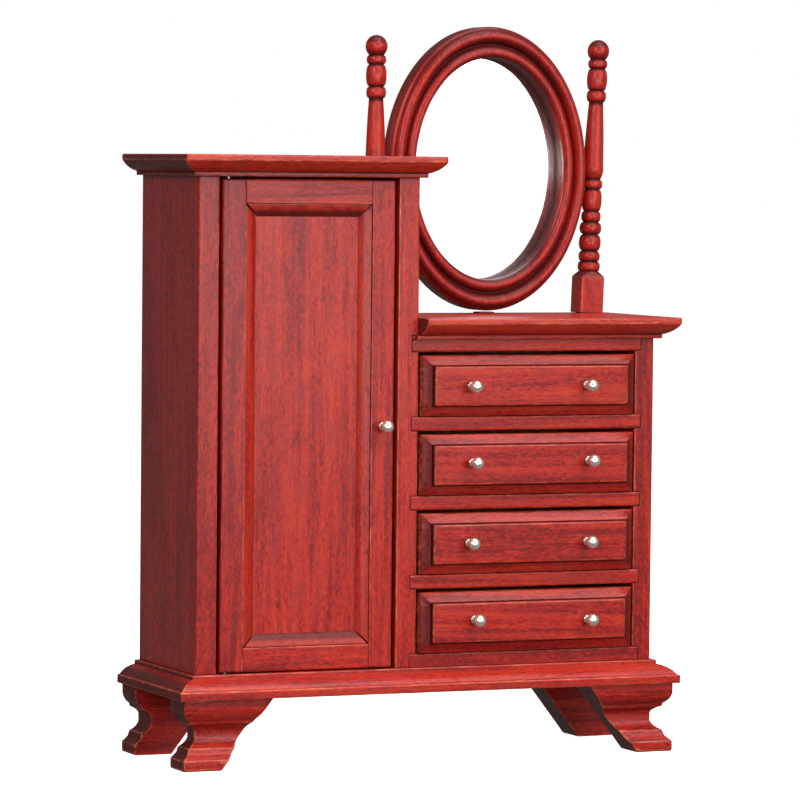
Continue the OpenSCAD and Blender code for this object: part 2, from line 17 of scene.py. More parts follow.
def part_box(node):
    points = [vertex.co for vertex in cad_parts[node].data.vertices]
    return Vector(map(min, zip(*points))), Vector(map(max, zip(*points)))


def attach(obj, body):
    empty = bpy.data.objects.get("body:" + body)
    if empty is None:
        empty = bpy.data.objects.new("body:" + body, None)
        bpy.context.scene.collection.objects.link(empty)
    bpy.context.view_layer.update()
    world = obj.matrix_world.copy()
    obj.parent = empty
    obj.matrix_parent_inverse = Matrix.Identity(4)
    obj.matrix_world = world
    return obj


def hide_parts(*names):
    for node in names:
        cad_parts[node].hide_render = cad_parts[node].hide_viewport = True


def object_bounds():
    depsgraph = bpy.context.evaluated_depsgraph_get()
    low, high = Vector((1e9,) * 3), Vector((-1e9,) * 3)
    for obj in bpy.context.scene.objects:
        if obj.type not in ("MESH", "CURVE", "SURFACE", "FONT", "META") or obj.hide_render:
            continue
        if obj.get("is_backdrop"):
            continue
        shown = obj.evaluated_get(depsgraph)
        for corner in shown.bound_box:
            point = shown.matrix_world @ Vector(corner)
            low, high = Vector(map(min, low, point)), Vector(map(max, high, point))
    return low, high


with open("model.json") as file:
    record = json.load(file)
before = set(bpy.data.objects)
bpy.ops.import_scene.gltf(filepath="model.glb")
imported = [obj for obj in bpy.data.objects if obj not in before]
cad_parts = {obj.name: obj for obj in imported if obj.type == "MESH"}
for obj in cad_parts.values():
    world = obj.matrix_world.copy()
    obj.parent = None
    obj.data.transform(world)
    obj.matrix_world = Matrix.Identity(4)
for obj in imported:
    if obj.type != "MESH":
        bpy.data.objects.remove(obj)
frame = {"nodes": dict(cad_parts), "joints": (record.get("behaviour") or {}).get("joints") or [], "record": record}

bl_info = {
    "name": "Miniature Wardrobe Looks",
    "version": (1, 0, 0),
    "blender": (4, 5, 0),
    "location": "View3D > Sidebar > Wardrobe",
    "description": "Builds the visible pieces of a miniature wardrobe around its packed frame",
    "category": "Object",
}

MM = 0.001
CAD_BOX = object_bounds()
BODIES = frame["record"]["behaviour"]["bodies"]
BODY_OF = {node: body for body, nodes in BODIES.items() for node in nodes}
SLOT_OF = {row["node"]: row["material_slot"] for row in frame["record"]["subparts"]}
JOINTS = {joint["name"]: joint for joint in frame["joints"]}
DRAWERS = (1, 2, 3, 4)

# Letters for the six sides of a piece, as seen from the front
SIDES = {
    "F": Vector((0, -1, 0)),
    "B": Vector((0, 1, 0)),
    "L": Vector((-1, 0, 0)),
    "R": Vector((1, 0, 0)),
    "U": Vector((0, 0, 1)),
    "D": Vector((0, 0, -1)),
}
MERGE = 1e-6
SHARP_ANGLE = math.radians(24)
SHADE_ANGLE = math.radians(40)
SHORT_EDGE = 0.2 * MM
FAR_FROM_EDGE = 2.0  # the largest distance that the edge attributes hold, in millimetres
CONTACT = 0.03 * MM
FOOT_STEP = 2.5 * MM  # spacing of the cuts across a foot, closer than on a board
GREYED_RIM = 1.2  # width of the greyed rim of the glass, in millimetres
SEAT_DEPTH = 1.0  # how far the glass's seat lies in front of the mirror frame's back, in millimetres
SEAT_EDGE = 0.15  # how far the rounding of the seat's front edge reaches, in millimetres
SIDE_SHARE = 0.83  # how wide the mirror frame's band is at the sides, against its width at the top


# ---- Settings ----


def colour_setting(name, description, default):
    return FloatVectorProperty(
        name=name, description=description, subtype="COLOR", size=3, min=0, max=1, default=default)


def length_setting(name, description, low, high, default):
    return FloatProperty(
        name=name, description=description, unit="LENGTH", subtype="DISTANCE", min=low, max=high,
        default=default)


def lamp_setting(name, description, default):
    return FloatProperty(name=name, description=description, min=0, max=20, default=default)


class WardrobeWood(bpy.types.PropertyGroup):
    """Colours and finish of the stained wood"""

    dark: colour_setting("Dark streaks", "Stain in the dense streaks of the grain", (0.21, 0.008, 0.006))
    middle: colour_setting("Body colour", "Stain over most of the wood", (0.40, 0.014, 0.009))
    warm: colour_setting(
        "Warm streaks", "Stain in the open, pale streaks of the grain", (0.53, 0.034, 0.012))
    # Edge colour: stain rubbed thin on the exposed edges, plus a painted highlight along their rounding.
    worn: colour_setting(
        "Worn edges", "Colour where the stain is rubbed thin on the edges", (0.78, 0.19, 0.085))
    pore: colour_setting("Pores", "Stain that has gathered in the pores", (0.085, 0.008, 0.010))
    # Purplish brown patches: a darker random tone of the wood, plus painted sheen of the lacquer.
    haze: colour_setting(
        "Haze", "Purplish brown where the stain lies thick under the lacquer", (0.24, 0.018, 0.019))
    end_grain: colour_setting(
        "End grain", "Stain that the ends of the boards have drunk in", (0.075, 0.010, 0.009))
    # Dark joint lines; the shader also lays this colour in grooves, and as painted shade round the knob seats and
    # on the mirror frame's inner wall.
    joint: colour_setting("Joint lines", "Stain and dirt along the joints", (0.030, 0.006, 0.006))
    bare: colour_setting("Inside wood", "Thin wash of stain on the inside pieces", (0.30, 0.085, 0.045))
    lacquer: FloatProperty(
        name="Lacquer", description="How much lacquer covers the stained wood",
        subtype="FACTOR", min=0, max=1, default=0.48)
    lacquer_roughness: FloatProperty(
        name="Lacquer roughness", description="Roughness of the lacquer film",
        subtype="FACTOR", min=0, max=1, default=0.25)


class WardrobeEdges(bpy.types.PropertyGroup):
    """Radii that the sandpaper left on the edges"""

    fine: length_setting(
        "Fine edges", "Radius of edges that are hardly rubbed", 0.00005, 0.0003, 0.00012)
    joint: length_setting(
        "Edges in joints", "Radius of edges that meet another piece", 0.00002, 0.0002, 0.00006)
    case: length_setting(
        "Case edges", "Radius of the exposed front edges of the case", 0.0001, 0.0008, 0.00035)
    corner: length_setting(
        "Outer corners", "Radius of the outer corners of case and door", 0.0002, 0.0012, 0.0005)


class WardrobeMetal(bpy.types.PropertyGroup):
    """Knobs and pins"""

    knob: colour_setting("Knob brass", "Colour of the polished knobs", (0.97, 0.93, 0.80))
    pin: colour_setting("Pin steel", "Colour of the hinge and pivot pins", (0.22, 0.21, 0.21))
    segments: IntProperty(
        name="Turning segments", description="Facets round a turned piece",
        min=16, max=128, default=64)


class WardrobeStage(bpy.types.PropertyGroup):
    """Camera, floor and lights"""

    azimuth: FloatProperty(
        name="Azimuth", description="Way the camera looks, 0 along +Y and negative towards +X",
        unit="ROTATION", subtype="ANGLE", default=math.radians(-23.257))
    elevation: FloatProperty(
        name="Elevation", description="Height of the camera over the aim, as an angle",
        unit="ROTATION", subtype="ANGLE", default=math.radians(2.822))
    roll: FloatProperty(
        name="Roll", description="Turn of the camera about its own line of sight",
        unit="ROTATION", subtype="ANGLE", default=math.radians(-0.569))
    distance: length_setting(
        "Distance", "From the camera to the point that it aims at", 0.2, 5, 0.9489)
    aim: FloatVectorProperty(
        name="Aim", description="The point that the camera aims at",
        unit="LENGTH", subtype="TRANSLATION", size=3, default=(-0.0010, 0.0, 0.0720))
    lens: FloatProperty(
        name="Lens", description="Focal length for a sensor 36 mm wide, in millimetres",
        min=50, max=400, default=209.86)
    key: lamp_setting(
        "Key light", "Brightness of the soft light at the front right", 2.6)
    side: lamp_setting(
        "Side light", "Brightness of the soft light at the front left", 4.6)
    top: lamp_setting(
        "Top light", "Brightness of the soft light high in front", 4.4)
    low: lamp_setting(
        "Low light", "Brightness of the light that comes off the table in front", 6.2)
    fill: FloatProperty(
        name="Room light", description="Strength of the even light from all round",
        min=0, max=3, default=0.12)
    gloss: FloatProperty(
        name="Room reflections", description="Strength of the room as the lacquer and the metal mirror it",
        min=0, max=3, default=0.06)


# ---- Shader helpers ----


class Value:
    """A shader output that takes part in Python arithmetic by adding Math nodes"""

    def __init__(self, shader, socket):
        self.shader, self.socket = shader, socket

    def maths(self, operation, *terms, clamp=False):
        settings = {"operation": operation, "use_clamp": clamp}
        return self.shader.add("ShaderNodeMath", settings, dict(enumerate(terms)))

    def __add__(self, other):
        return self.maths("ADD", self, other)

    def __sub__(self, other):
        return self.maths("SUBTRACT", self, other)

    def __rsub__(self, other):
        return self.maths("SUBTRACT", other, self)

    def __mul__(self, other):
        return self.maths("MULTIPLY", self, other)

    __radd__ = __add__
    __rmul__ = __mul__

    def clamped(self):
        return self.maths("ADD", self, 0.0, clamp=True)

    def between(self, low, high, to_low=0.0, to_high=1.0):
        """This value as it runs from low to high, turned smoothly into to_low to to_high"""
        return self.shader.add(
            "ShaderNodeMapRange", {"interpolation_type": "SMOOTHSTEP", "clamp": True},
            {"Value": self, "From Min": low, "From Max": high, "To Min": to_low, "To Max": to_high})


class Shader:
    """A material whose nodes are added from Python, and its finished surface"""

    def __init__(self, name):
        self.material = bpy.data.materials.new(name)
        self.material.use_nodes = True
        self.tree = self.material.node_tree
        self.tree.nodes.clear()

    def add(self, kind, settings=None, inputs=None, out=0):
        """Adds a node: its settings first, then the values or links of its sockets"""
        node = self.tree.nodes.new(kind)
        for key, value in (settings or {}).items():
            if key == "stops":
                self.fill_ramp(node.color_ramp, value)
            else:
                setattr(node, key, value)
        for key, value in (inputs or {}).items():
            socket = node.inputs[key]
            if isinstance(value, Value):
                self.tree.links.new(value.socket, socket)
            else:
                socket.default_value = value
        return Value(self, node.outputs[out])

    @staticmethod
    def fill_ramp(ramp, stops):
        while len(ramp.elements) < len(stops):
            ramp.elements.new(0.5)
        for element, (position, colour) in zip(ramp.elements, stops):
            element.position = position
            element.color = (*colour, 1.0)

    def attribute(self, name, out="Fac"):
        return self.add("ShaderNodeAttribute", {"attribute_name": name}, out=out)

    def scaled(self, vector, factors):
        return self.add("ShaderNodeVectorMath", {"operation": "MULTIPLY"}, {0: vector, 1: factors})

    def noise(self, vector, detail=2.0, roughness=0.5, distortion=0.0, out="Fac"):
        return self.add(
            "ShaderNodeTexNoise", None,
            {"Vector": vector, "Scale": 1.0, "Detail": detail, "Roughness": roughness,
             "Distortion": distortion}, out=out)

    def mix(self, factor, first, second, blend="MIX"):
        """Mixes two colours, given as links or as three numbers"""
        pair = [c if isinstance(c, Value) else (*c, 1.0) for c in (first, second)]
        settings = {"data_type": "RGBA", "blend_type": blend, "clamp_factor": True}
        return self.add("ShaderNodeMix", settings, {0: factor, 6: pair[0], 7: pair[1]}, out=2)

    def finish(self, **sockets):
        """Adds the surface, with the given sockets of its Principled node"""
        inputs = {key.replace("_", " "): value for key, value in sockets.items()}
        surface = self.add("ShaderNodeBsdfPrincipled", None, inputs)
        self.add_output(surface)
        return self.material

    def add_output(self, surface):
        output = self.tree.nodes.new("ShaderNodeOutputMaterial")
        self.tree.links.new(surface.socket, output.inputs["Surface"])


# ---- Materials ----


def wood_grain(shader):
    """Streaks, fibres and pores of mahogany, each from 0 to 1, in the wood's own space"""
    wood = shader.attribute("wood", "Vector")
    wander = shader.noise(shader.scaled(wood, (0.05, 0.05, 0.012)), detail=1.0, out="Color")
    bent = shader.add(
        "ShaderNodeVectorMath", {"operation": "MULTIPLY_ADD"}, {0: wander, 1: (2.4, 2.4, 0.0), 2: wood})
    streak = shader.noise(shader.scaled(bent, (0.62, 0.62, 0.016)), detail=3.0, roughness=0.62)
    fibre = shader.noise(shader.scaled(bent, (3.4, 3.4, 0.16)), detail=2.0, roughness=0.6)
    pore = shader.noise(shader.scaled(bent, (5.2, 5.2, 1.0)), detail=1.0, roughness=0.4)
    return wood, streak, fibre, pore


def stained_wood(settings):
    """Mahogany under red stain and lacquer: rubbed edges with painted highlight, dark joints, painted shade near
    joints, grooves and knob seats, and purplish patches with painted sheen
    """
    shader = Shader("stained_wood")
    wood, streak, fibre, pore = wood_grain(shader)
    tone = shader.attribute("tone")
    blotch = shader.noise(shader.scaled(wood, (0.09, 0.09, 0.03)), detail=2.0)
    open_grain = shader.attribute("open_grain")
    mottle = shader.noise(shader.scaled(wood, (0.42, 0.42, 0.15)), detail=3.0, roughness=0.55)
    figure = 0.5 + (streak - 0.5 + (fibre - 0.5) * 0.3) * open_grain + (blotch - 0.5) * 0.3
    grit = shader.noise(shader.scaled(wood, (2.1, 2.1, 0.9)), detail=2.0, roughness=0.6)
    figure = (figure + (mottle - 0.5) * 0.35 + (grit - 0.5) * 0.8 + tone).clamped()
    stain = shader.add(
        "ShaderNodeValToRGB",
        {"stops": [(0.30, settings.dark), (0.47, settings.middle), (0.72, settings.warm)]},
        {"Fac": figure})
    # Purplish patches at random: darker tone plus painted sheen.
    stain = shader.mix(mottle.between(0.50, 0.68, 0.0, 0.45), stain, settings.haze)
    pores = pore.between(0.55, 0.74) * streak.between(0.70, 0.35, 0.25, 0.70) * open_grain
    stain = shader.mix(pores, stain, settings.pore)
    speckle = shader.noise(shader.scaled(wood, (2.4, 2.4, 2.4)), detail=2.0)
    cut = shader.attribute("end_grain") * speckle.between(0.34, 0.66, 1.0, 0.72)
    stain = shader.mix(cut, stain, settings.end_grain)

    # Rubbed edges: worn stain on the exposed arrises, plus painted highlight along them.
    ragged = shader.noise(shader.scaled(wood, (1.3, 1.3, 0.5)), detail=3.0, roughness=0.7)
    from_edge = shader.attribute("arris") + (ragged - 0.5) * 0.55
    patchy = shader.noise(shader.scaled(wood, (0.9, 0.9, 0.22)), detail=3.0, roughness=0.65)
    rubbed = from_edge.between(0.30, 0.02) * patchy.between(0.38, 0.66, 0.12, 0.75)
    stain = shader.mix(rubbed, stain, settings.worn)
    # Dark lines along joints and grooves, plus painted shade: a soft darkening up to 1.3 mm from joints, grooves,
    # knob seats and the mirror frame's inner wall.
    from_joint = shader.attribute("joint") + (ragged - 0.5) * 0.12
    seam = from_joint.between(0.18, 0.03, 0.0, 0.84)
    painted_joint_shade = from_joint.between(1.3, 0.1, 0.0, 0.28)
    stain = shader.mix(painted_joint_shade, stain, settings.dark)
    stain = shader.mix(seam, stain, settings.joint)

    rubbing = shader.noise(shader.scaled(wood, (0.8, 0.8, 0.8)), detail=3.0, roughness=0.6)
    dull = rubbing.between(0.3, 0.7, 0.36, 0.52) + pores * 0.2 + seam * 0.2
    brushed = shader.noise(shader.scaled(wood, (2.3, 2.3, 1.3)), detail=3.0, roughness=0.6)
    height = fibre * 0.3 - pores * 0.7 + rubbing * 0.3 + brushed * 1.1
    bump = shader.add("ShaderNodeBump", None, {"Strength": 0.6, "Distance": 0.11 * MM, "Height": height})
    coat = (1.0 - (pores * 0.6 + seam + cut * 0.7).clamped()) * settings.lacquer
    return shader.finish(
        Base_Color=stain, Roughness=dull, Normal=bump, Coat_Weight=coat,
        Coat_Roughness=settings.lacquer_roughness, Coat_IOR=1.5, Specular_IOR_Level=0.10)


def inside_wood(settings):
    """The same wood with a thin matt wash, for drawer boxes and backs"""
    shader = Shader("inside_wood")
    _, streak, fibre, pore = wood_grain(shader)
    figure = (streak + (fibre - 0.5) * 0.5 + shader.attribute("tone")).clamped()
    deep = tuple(0.55 * c for c in settings.bare)
    pale = tuple(min(1.0, 1.45 * c) for c in settings.bare)
    wash = shader.add(
        "ShaderNodeValToRGB", {"stops": [(0.28, deep), (0.5, settings.bare), (0.75, pale)]},
        {"Fac": figure})
    pores = pore.between(0.58, 0.72, 0.0, 0.7)
    wash = shader.mix(pores, wash, settings.pore)
    # Paler along the exposed edges: rubbed wash, plus painted highlight.
    rubbed = (shader.attribute("arris") + (fibre - 0.5) * 0.5).between(0.4, 0.0, 0.0, 0.5)
    wash = shader.mix(rubbed, wash, pale)
    seam = shader.attribute("joint").between(0.5, 0.02, 0.0, 0.85)
    wash = shader.mix(seam, wash, settings.joint)
    height = fibre * 0.5 - pores
    bump = shader.add("ShaderNodeBump", None, {"Strength": 0.6, "Distance": 0.05 * MM, "Height": height})
    return shader.finish(Base_Color=wash, Roughness=fibre.between(0.3, 0.7, 0.6, 0.78), Normal=bump)


def polished_brass(settings):
    """Pale knob brass with fine turning lines, a little tarnish, and a dark red collar that is partly stain and
    partly painted shade
    """
    shader = Shader("polished_brass")
    place = shader.add("ShaderNodeTexCoord", out="Object")
    cloud = shader.noise(shader.scaled(place, (900.0, 900.0, 900.0)), detail=3.0)
    lines = shader.noise(shader.scaled(place, (300.0, 14000.0, 300.0)), detail=1.0)
    tarnish = cloud.between(0.45, 0.75, 0.0, 0.35)
    brown = tuple(c * k for c, k in zip(settings.knob, (0.72, 0.62, 0.45)))
    colour = shader.mix(tarnish, settings.knob, brown)
    # Dark red collar next to the seat: partly stain, partly painted shade.
    stained = shader.attribute("joint").between(0.55, 0.15)
    colour = shader.mix(stained, colour, (0.16, 0.012, 0.008))
    rough = cloud.between(0.3, 0.8, 0.14, 0.26) + lines * 0.05
    bump = shader.add("ShaderNodeBump", None, {"Strength": 0.15, "Distance": 0.01 * MM, "Height": lines})
    return shader.finish(Base_Color=colour, Metallic=0.86 - stained * 0.7, Roughness=rough, Normal=bump)


def drawn_steel(settings):
    """Bright wire with the marks of the drawing die along it"""
    shader = Shader("drawn_steel")
    place = shader.add("ShaderNodeTexCoord", out="Object")
    marks = shader.noise(shader.scaled(place, (9000.0, 9000.0, 700.0)), detail=2.0)
    grey = tuple(0.6 * c for c in settings.pin)
    colour = shader.mix(marks.between(0.4, 0.7), settings.pin, grey)
    bump = shader.add("ShaderNodeBump", None, {"Strength": 0.2, "Distance": 0.01 * MM, "Height": marks})
    return shader.finish(
        Base_Color=colour, Metallic=1.0, Roughness=marks.between(0.2, 0.8, 0.22, 0.42), Normal=bump)


def silvered_glass():
    """Mirror glass with a trace of dust and a slightly greyed rim"""
    shader = Shader("silvered_glass")
    place = shader.add("ShaderNodeTexCoord", out="Object")
    dust = shader.noise(shader.scaled(place, (700.0, 700.0, 700.0)), detail=4.0, roughness=0.7)
    rim = shader.attribute("joint").between(GREYED_RIM, 0.0)
    colour = shader.mix(rim * 0.35, (0.93, 0.95, 0.96), (0.55, 0.60, 0.62))
    rough = dust.between(0.5, 0.9, 0.015, 0.06) + rim * 0.04
    return shader.finish(Base_Color=colour, Metallic=1.0, Roughness=rough)


def pale_floor():
    """Plain white studio floor"""
    shader = Shader("pale_floor")
    place = shader.add("ShaderNodeTexCoord", out="Object")
    cloud = shader.noise(shader.scaled(place, (9.0, 9.0, 9.0)), detail=2.0)
    colour = shader.mix(cloud, (0.90, 0.90, 0.90), (0.93, 0.93, 0.93))
    return shader.finish(
        Base_Color=colour, Roughness=0.8, Specular_IOR_Level=0.2, Emission_Color=(1.0, 1.0, 1.0, 1.0),
        Emission_Strength=0.94)


MATERIALS = {}


def make_materials(scene):
    """Makes each finish once; the operators take them by name"""
    MATERIALS["stained_wood"] = stained_wood(scene.wardrobe_wood)
    MATERIALS["inner_wood"] = inside_wood(scene.wardrobe_wood)
    MATERIALS["knob_brass"] = polished_brass(scene.wardrobe_metal)
    MATERIALS["pin_steel"] = drawn_steel(scene.wardrobe_metal)
    MATERIALS["mirror_glass"] = silvered_glass()


# ---- Woodworking ----


def evaluated_mesh(piece):
    """A plain mesh of an object as its modifiers leave it"""
    graph = bpy.context.evaluated_depsgraph_get()
    graph.update()
    return bpy.data.meshes.new_from_object(
        piece.evaluated_get(graph), preserve_all_data_layers=True, depsgraph=graph)


def linked(name, mesh):
    piece = bpy.data.objects.new(name, mesh)
    bpy.context.scene.collection.objects.link(piece)
    return piece


def with_modifiers(name, mesh, *modifiers):
    """The mesh after the given modifiers, each as (type, settings)"""
    helper = linked(name + "_helper", mesh)
    for kind, settings in modifiers:
        modifier = helper.modifiers.new(kind.title(), kind)
        for key, value in settings.items():
            setattr(modifier, key, value)
    result = evaluated_mesh(helper)
    bpy.data.objects.remove(helper)
    return result


def points_of(mesh):
    flat = np.empty(len(mesh.vertices) * 3)
    mesh.vertices.foreach_get("co", flat)
    return flat.reshape(-1, 3)


def store(mesh, name, values):
    """Keeps one number, or one vector, for each vertex"""
    kind, key = ("FLOAT_VECTOR", "vector") if values.ndim == 2 else ("FLOAT", "value")
    old = mesh.attributes.get(name)
    if old is not None:
        mesh.attributes.remove(old)
    mesh.attributes.new(name, kind, "POINT").data.foreach_set(key, values.astype(np.float32).ravel())


def store_faces(mesh, name, values):
    """Keeps one number for each face"""
    mesh.attributes.new(name, "FLOAT", "FACE").data.foreach_set("value", np.array(values, np.float32))


def store_wood_space(mesh, grain, name, tone, open_grain=1.0):
    """Where each vertex lies in its own plank, in millimetres, with the grain along the third axis"""
    luck = random.Random(name)
    order = {"x": (1, 2, 0), "y": (2, 0, 1), "z": (0, 1, 2)}[grain]
    place = points_of(mesh)[:, order] / MM
    slope = np.array([luck.uniform(-0.035, 0.035), luck.uniform(-0.035, 0.035)])
    place[:, :2] += place[:, 2:] * slope
    place += [luck.uniform(-500, 500) for _ in range(3)]
    store(mesh, "wood", place)
    axis = "xyz".index(grain)
    cut = np.clip([(abs(face.normal[axis]) - 0.2) / 0.35 for face in mesh.polygons], 0, 1)
    store_faces(mesh, "end_grain", cut * cut * (3 - 2 * cut))
    store_faces(mesh, "tone", np.full(len(cut), tone + luck.uniform(-0.035, 0.035)))
    store_faces(mesh, "open_grain", np.full(len(cut), open_grain))


def distance_to(points, segments):
    """Each point's distance to the nearest of the segments, in millimetres, up to a limit"""
    best = np.full(len(points), FAR_FROM_EDGE)
    for start, end in segments:
        along = end - start
        share = np.clip((points - start) @ along / (along @ along), 0, 1)
        gap = points - (start + share[:, None] * along)
        best = np.minimum(best, np.linalg.norm(gap, axis=1) / MM)
    return best


def facing(normal):
    """The letter of the side that a face looks to, or a dash for a slanted one"""
    for letter, direction in SIDES.items():
        if normal.dot(direction) > 0.9:
            return letter
    return "-"


TREES = {}


def surface_tree(node):
    """A CAD node's surface, for finding what touches it"""
    if node not in TREES:
        mesh = frame["nodes"][node].data
        corners = [v.co.copy() for v in mesh.vertices]
        TREES[node] = BVHTree.FromPolygons(corners, [tuple(p.vertices) for p in mesh.polygons])
    return TREES[node]


def neighbours_of(node):
    """The other nodes of the same body whose boxes touch this one's"""
    low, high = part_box(node)
    found = []
    for other in BODIES[BODY_OF[node]]:
        other_low, other_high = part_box(other)
        apart = any(other_low[k] > high[k] + CONTACT or other_high[k] < low[k] - CONTACT for k in range(3))
        if other != node and not apart:
            found.append(other)
    return found


def touches(point, others):
    return any(surface_tree(other).find_nearest(point, CONTACT)[0] is not None for other in others)


def edge_in_joint(edge, others):
    """True if most of an edge lies against another piece"""
    start, end = (v.co for v in edge.verts)
    hits = sum(touches(start.lerp(end, share), others) for share in (0.12, 0.5, 0.88))
    return hits >= 2


def bare_shape(node):
    """A CAD node's shape with its triangles merged into flat faces"""
    shape = bmesh.new()
    shape.from_mesh(frame["nodes"][node].data)
    bmesh.ops.remove_doubles(shape, verts=shape.verts, dist=MERGE)
    bmesh.ops.dissolve_limit(shape, angle_limit=math.radians(0.6), verts=shape.verts, edges=shape.edges)
    return shape


def mesh_of(shape, name):
    """Ends the work on a shape: its mesh, under a name"""
    mesh = bpy.data.meshes.new(name)
    shape.to_mesh(mesh)
    shape.free()
    return mesh


def skin(shape, rings):
    """Closes a row of rings of vertices into a solid"""
    count = len(rings[0])
    for ring, after in zip(rings, rings[1:]):
        for k in range(count):
            shape.faces.new((ring[k], ring[(k + 1) % count], after[(k + 1) % count], after[k]))
    shape.faces.new(rings[0])
    shape.faces.new(rings[-1])


def mitred_border(places, low, high):
    """How far each point lies in from the rim and from the nearest mitre, in millimetres, and whether
    the nearest side of the rim is an upright one. low and high are the rim's corners as (x, z)."""
    in_x = np.minimum(places[:, 0] - low[0], high[0] - places[:, 0])
    in_z = np.minimum(places[:, 2] - low[1], high[1] - places[:, 2])
    inset = np.minimum(in_x, in_z) / MM
    mitre = np.abs(in_x - in_z) / MM / math.sqrt(2)
    return inset, mitre, in_x < in_z


def segment(edge):
    return tuple(np.array(v.co) for v in edge.verts)


def cut_grid(shape, step, near):
    """Cuts the shape along planes, a step apart and near each of the given places, so that what is
    stored on its vertices can change close to the edges"""
    low = [min(v.co[k] for v in shape.verts) for k in range(3)]
    high = [max(v.co[k] for v in shape.verts) for k in range(3)]
    for axis in range(3):
        planes = set()
        count = int((high[axis] - low[axis]) / step)
        for k in range(1, count + 1):
            planes.add(round(low[axis] + (high[axis] - low[axis]) * k / (count + 1), 6))
        for place in near[axis]:
            planes.update(round(place + sign * gap, 6) for sign in (-1, 1) for gap in (0.45 * MM, 1.2 * MM))
        normal = [0.0, 0.0, 0.0]
        normal[axis] = 1.0
        for place in sorted(planes):
            if low[axis] + 0.2 * MM < place < high[axis] - 0.2 * MM:
                centre = [0.0, 0.0, 0.0]
                centre[axis] = place
                everything = shape.verts[:] + shape.edges[:] + shape.faces[:]
                bmesh.ops.bisect_plane(shape, geom=everything, plane_co=centre, plane_no=normal, dist=MERGE)


def flat_places(shape):
    """The places along each axis where the shape has a face square to it"""
    found = [set(), set(), set()]
    for face in shape.faces:
        letter = facing(face.normal)
        if letter != "-":
            axis = "LRFBDU".index(letter) // 2
            found[axis].add(round(face.verts[0].co[axis], 5))
    return found


def finished_mesh(node, edges, radii, step=5 * MM, spots=()):
    """A CAD board as a maker leaves it: rounded edges, and on each vertex its distance to the nearest
    rubbed edge and to the nearest joint. radii gives the rounding where two lettered sides meet, and
    spots are round places, as (centre, radius), that count as joints."""
    shape = bare_shape(node)
    others = neighbours_of(node)
    weights = shape.edges.layers.float.new("bevel_weight_edge")
    rubbed, joints = [], []
    for edge in shape.edges:
        if len(edge.link_faces) != 2 or edge.calc_face_angle() < SHARP_ANGLE:
            continue
        if edge_in_joint(edge, others):
            joints.append(segment(edge))
            radius = edges.joint
        else:
            if edge.is_convex:
                rubbed.append(segment(edge))
            key = "".join(sorted(facing(face.normal) for face in edge.link_faces))
            radius = radii.get(key, edges.fine)
        if edge.is_convex and edge.calc_length() > SHORT_EDGE:
            edge[weights] = radius / edges.corner
    near = flat_places(shape)
    for centre, radius in spots:
        for axis in (0, 2):
            near[axis].update((centre[axis] - radius, centre[axis] + radius))
    rough = mesh_of(shape, node)
    bevel = {
        "width": edges.corner, "limit_method": "WEIGHT", "segments": 3, "profile": 0.5,
        "use_clamp_overlap": False, "miter_outer": "MITER_SHARP", "harden_normals": False,
    }
    rounded = with_modifiers(node, rough, ("BEVEL", bevel))
    shape = bmesh.new()
    shape.from_mesh(rounded)
    cut_grid(shape, step, near)
    mesh = mesh_of(shape, node + "_wood")
    places = points_of(mesh)
    store(mesh, "arris", distance_to(places, rubbed))
    to_joint = distance_to(places, joints)
    # Spots are knob seats: their dark ring is partly lacquer pooled round the knob and partly painted shadow of
    # the knob.
    for centre, radius in spots:
        to_spot = np.abs(np.linalg.norm(places - np.array(centre), axis=1) - radius) / MM
        to_joint = np.minimum(to_joint, np.minimum(to_spot, FAR_FROM_EDGE))
    store(mesh, "joint", to_joint)
    return mesh


def smooth_faces(mesh, planed=False):
    """Smooth shading that keeps sharp edges sharp and, on a planed board, the square faces flat"""
    mesh.shade_smooth()
    if planed:
        for face in mesh.polygons:
            face.use_smooth = max(abs(part) for part in face.normal) < 0.99995
    mesh.set_sharp_from_angle(angle=SHADE_ANGLE)
    settings = {"mode": "FACE_AREA", "weight": 80, "keep_sharp": True}
    return with_modifiers(mesh.name, mesh, ("WEIGHTED_NORMAL", settings))


def place_piece(name, mesh, nodes, finish=None):
    """Shows a mesh in place of some CAD nodes: on their body, in their slot and with its finish"""
    slot = SLOT_OF[nodes[0]]
    mesh.name = name
    mesh.materials.clear()
    mesh.materials.append(MATERIALS[finish or slot])
    piece = linked(name, mesh)
    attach(piece, BODY_OF[nodes[0]])
    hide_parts(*nodes)
    return piece


def finish_board(node, grain, radii=None, tone=0.0, step=5 * MM, spots=(), open_grain=1.0):
    """Replaces one CAD board by its finished shape"""
    mesh = finished_mesh(node, bpy.context.scene.wardrobe_edges, radii or {}, step, spots)
    mesh = smooth_faces(mesh, planed=True)
    store_wood_space(mesh, grain, node, tone, open_grain)
    return place_piece(node + "_wood", mesh, [node])


# ---- Turned and swept pieces, by Geometry Nodes ----


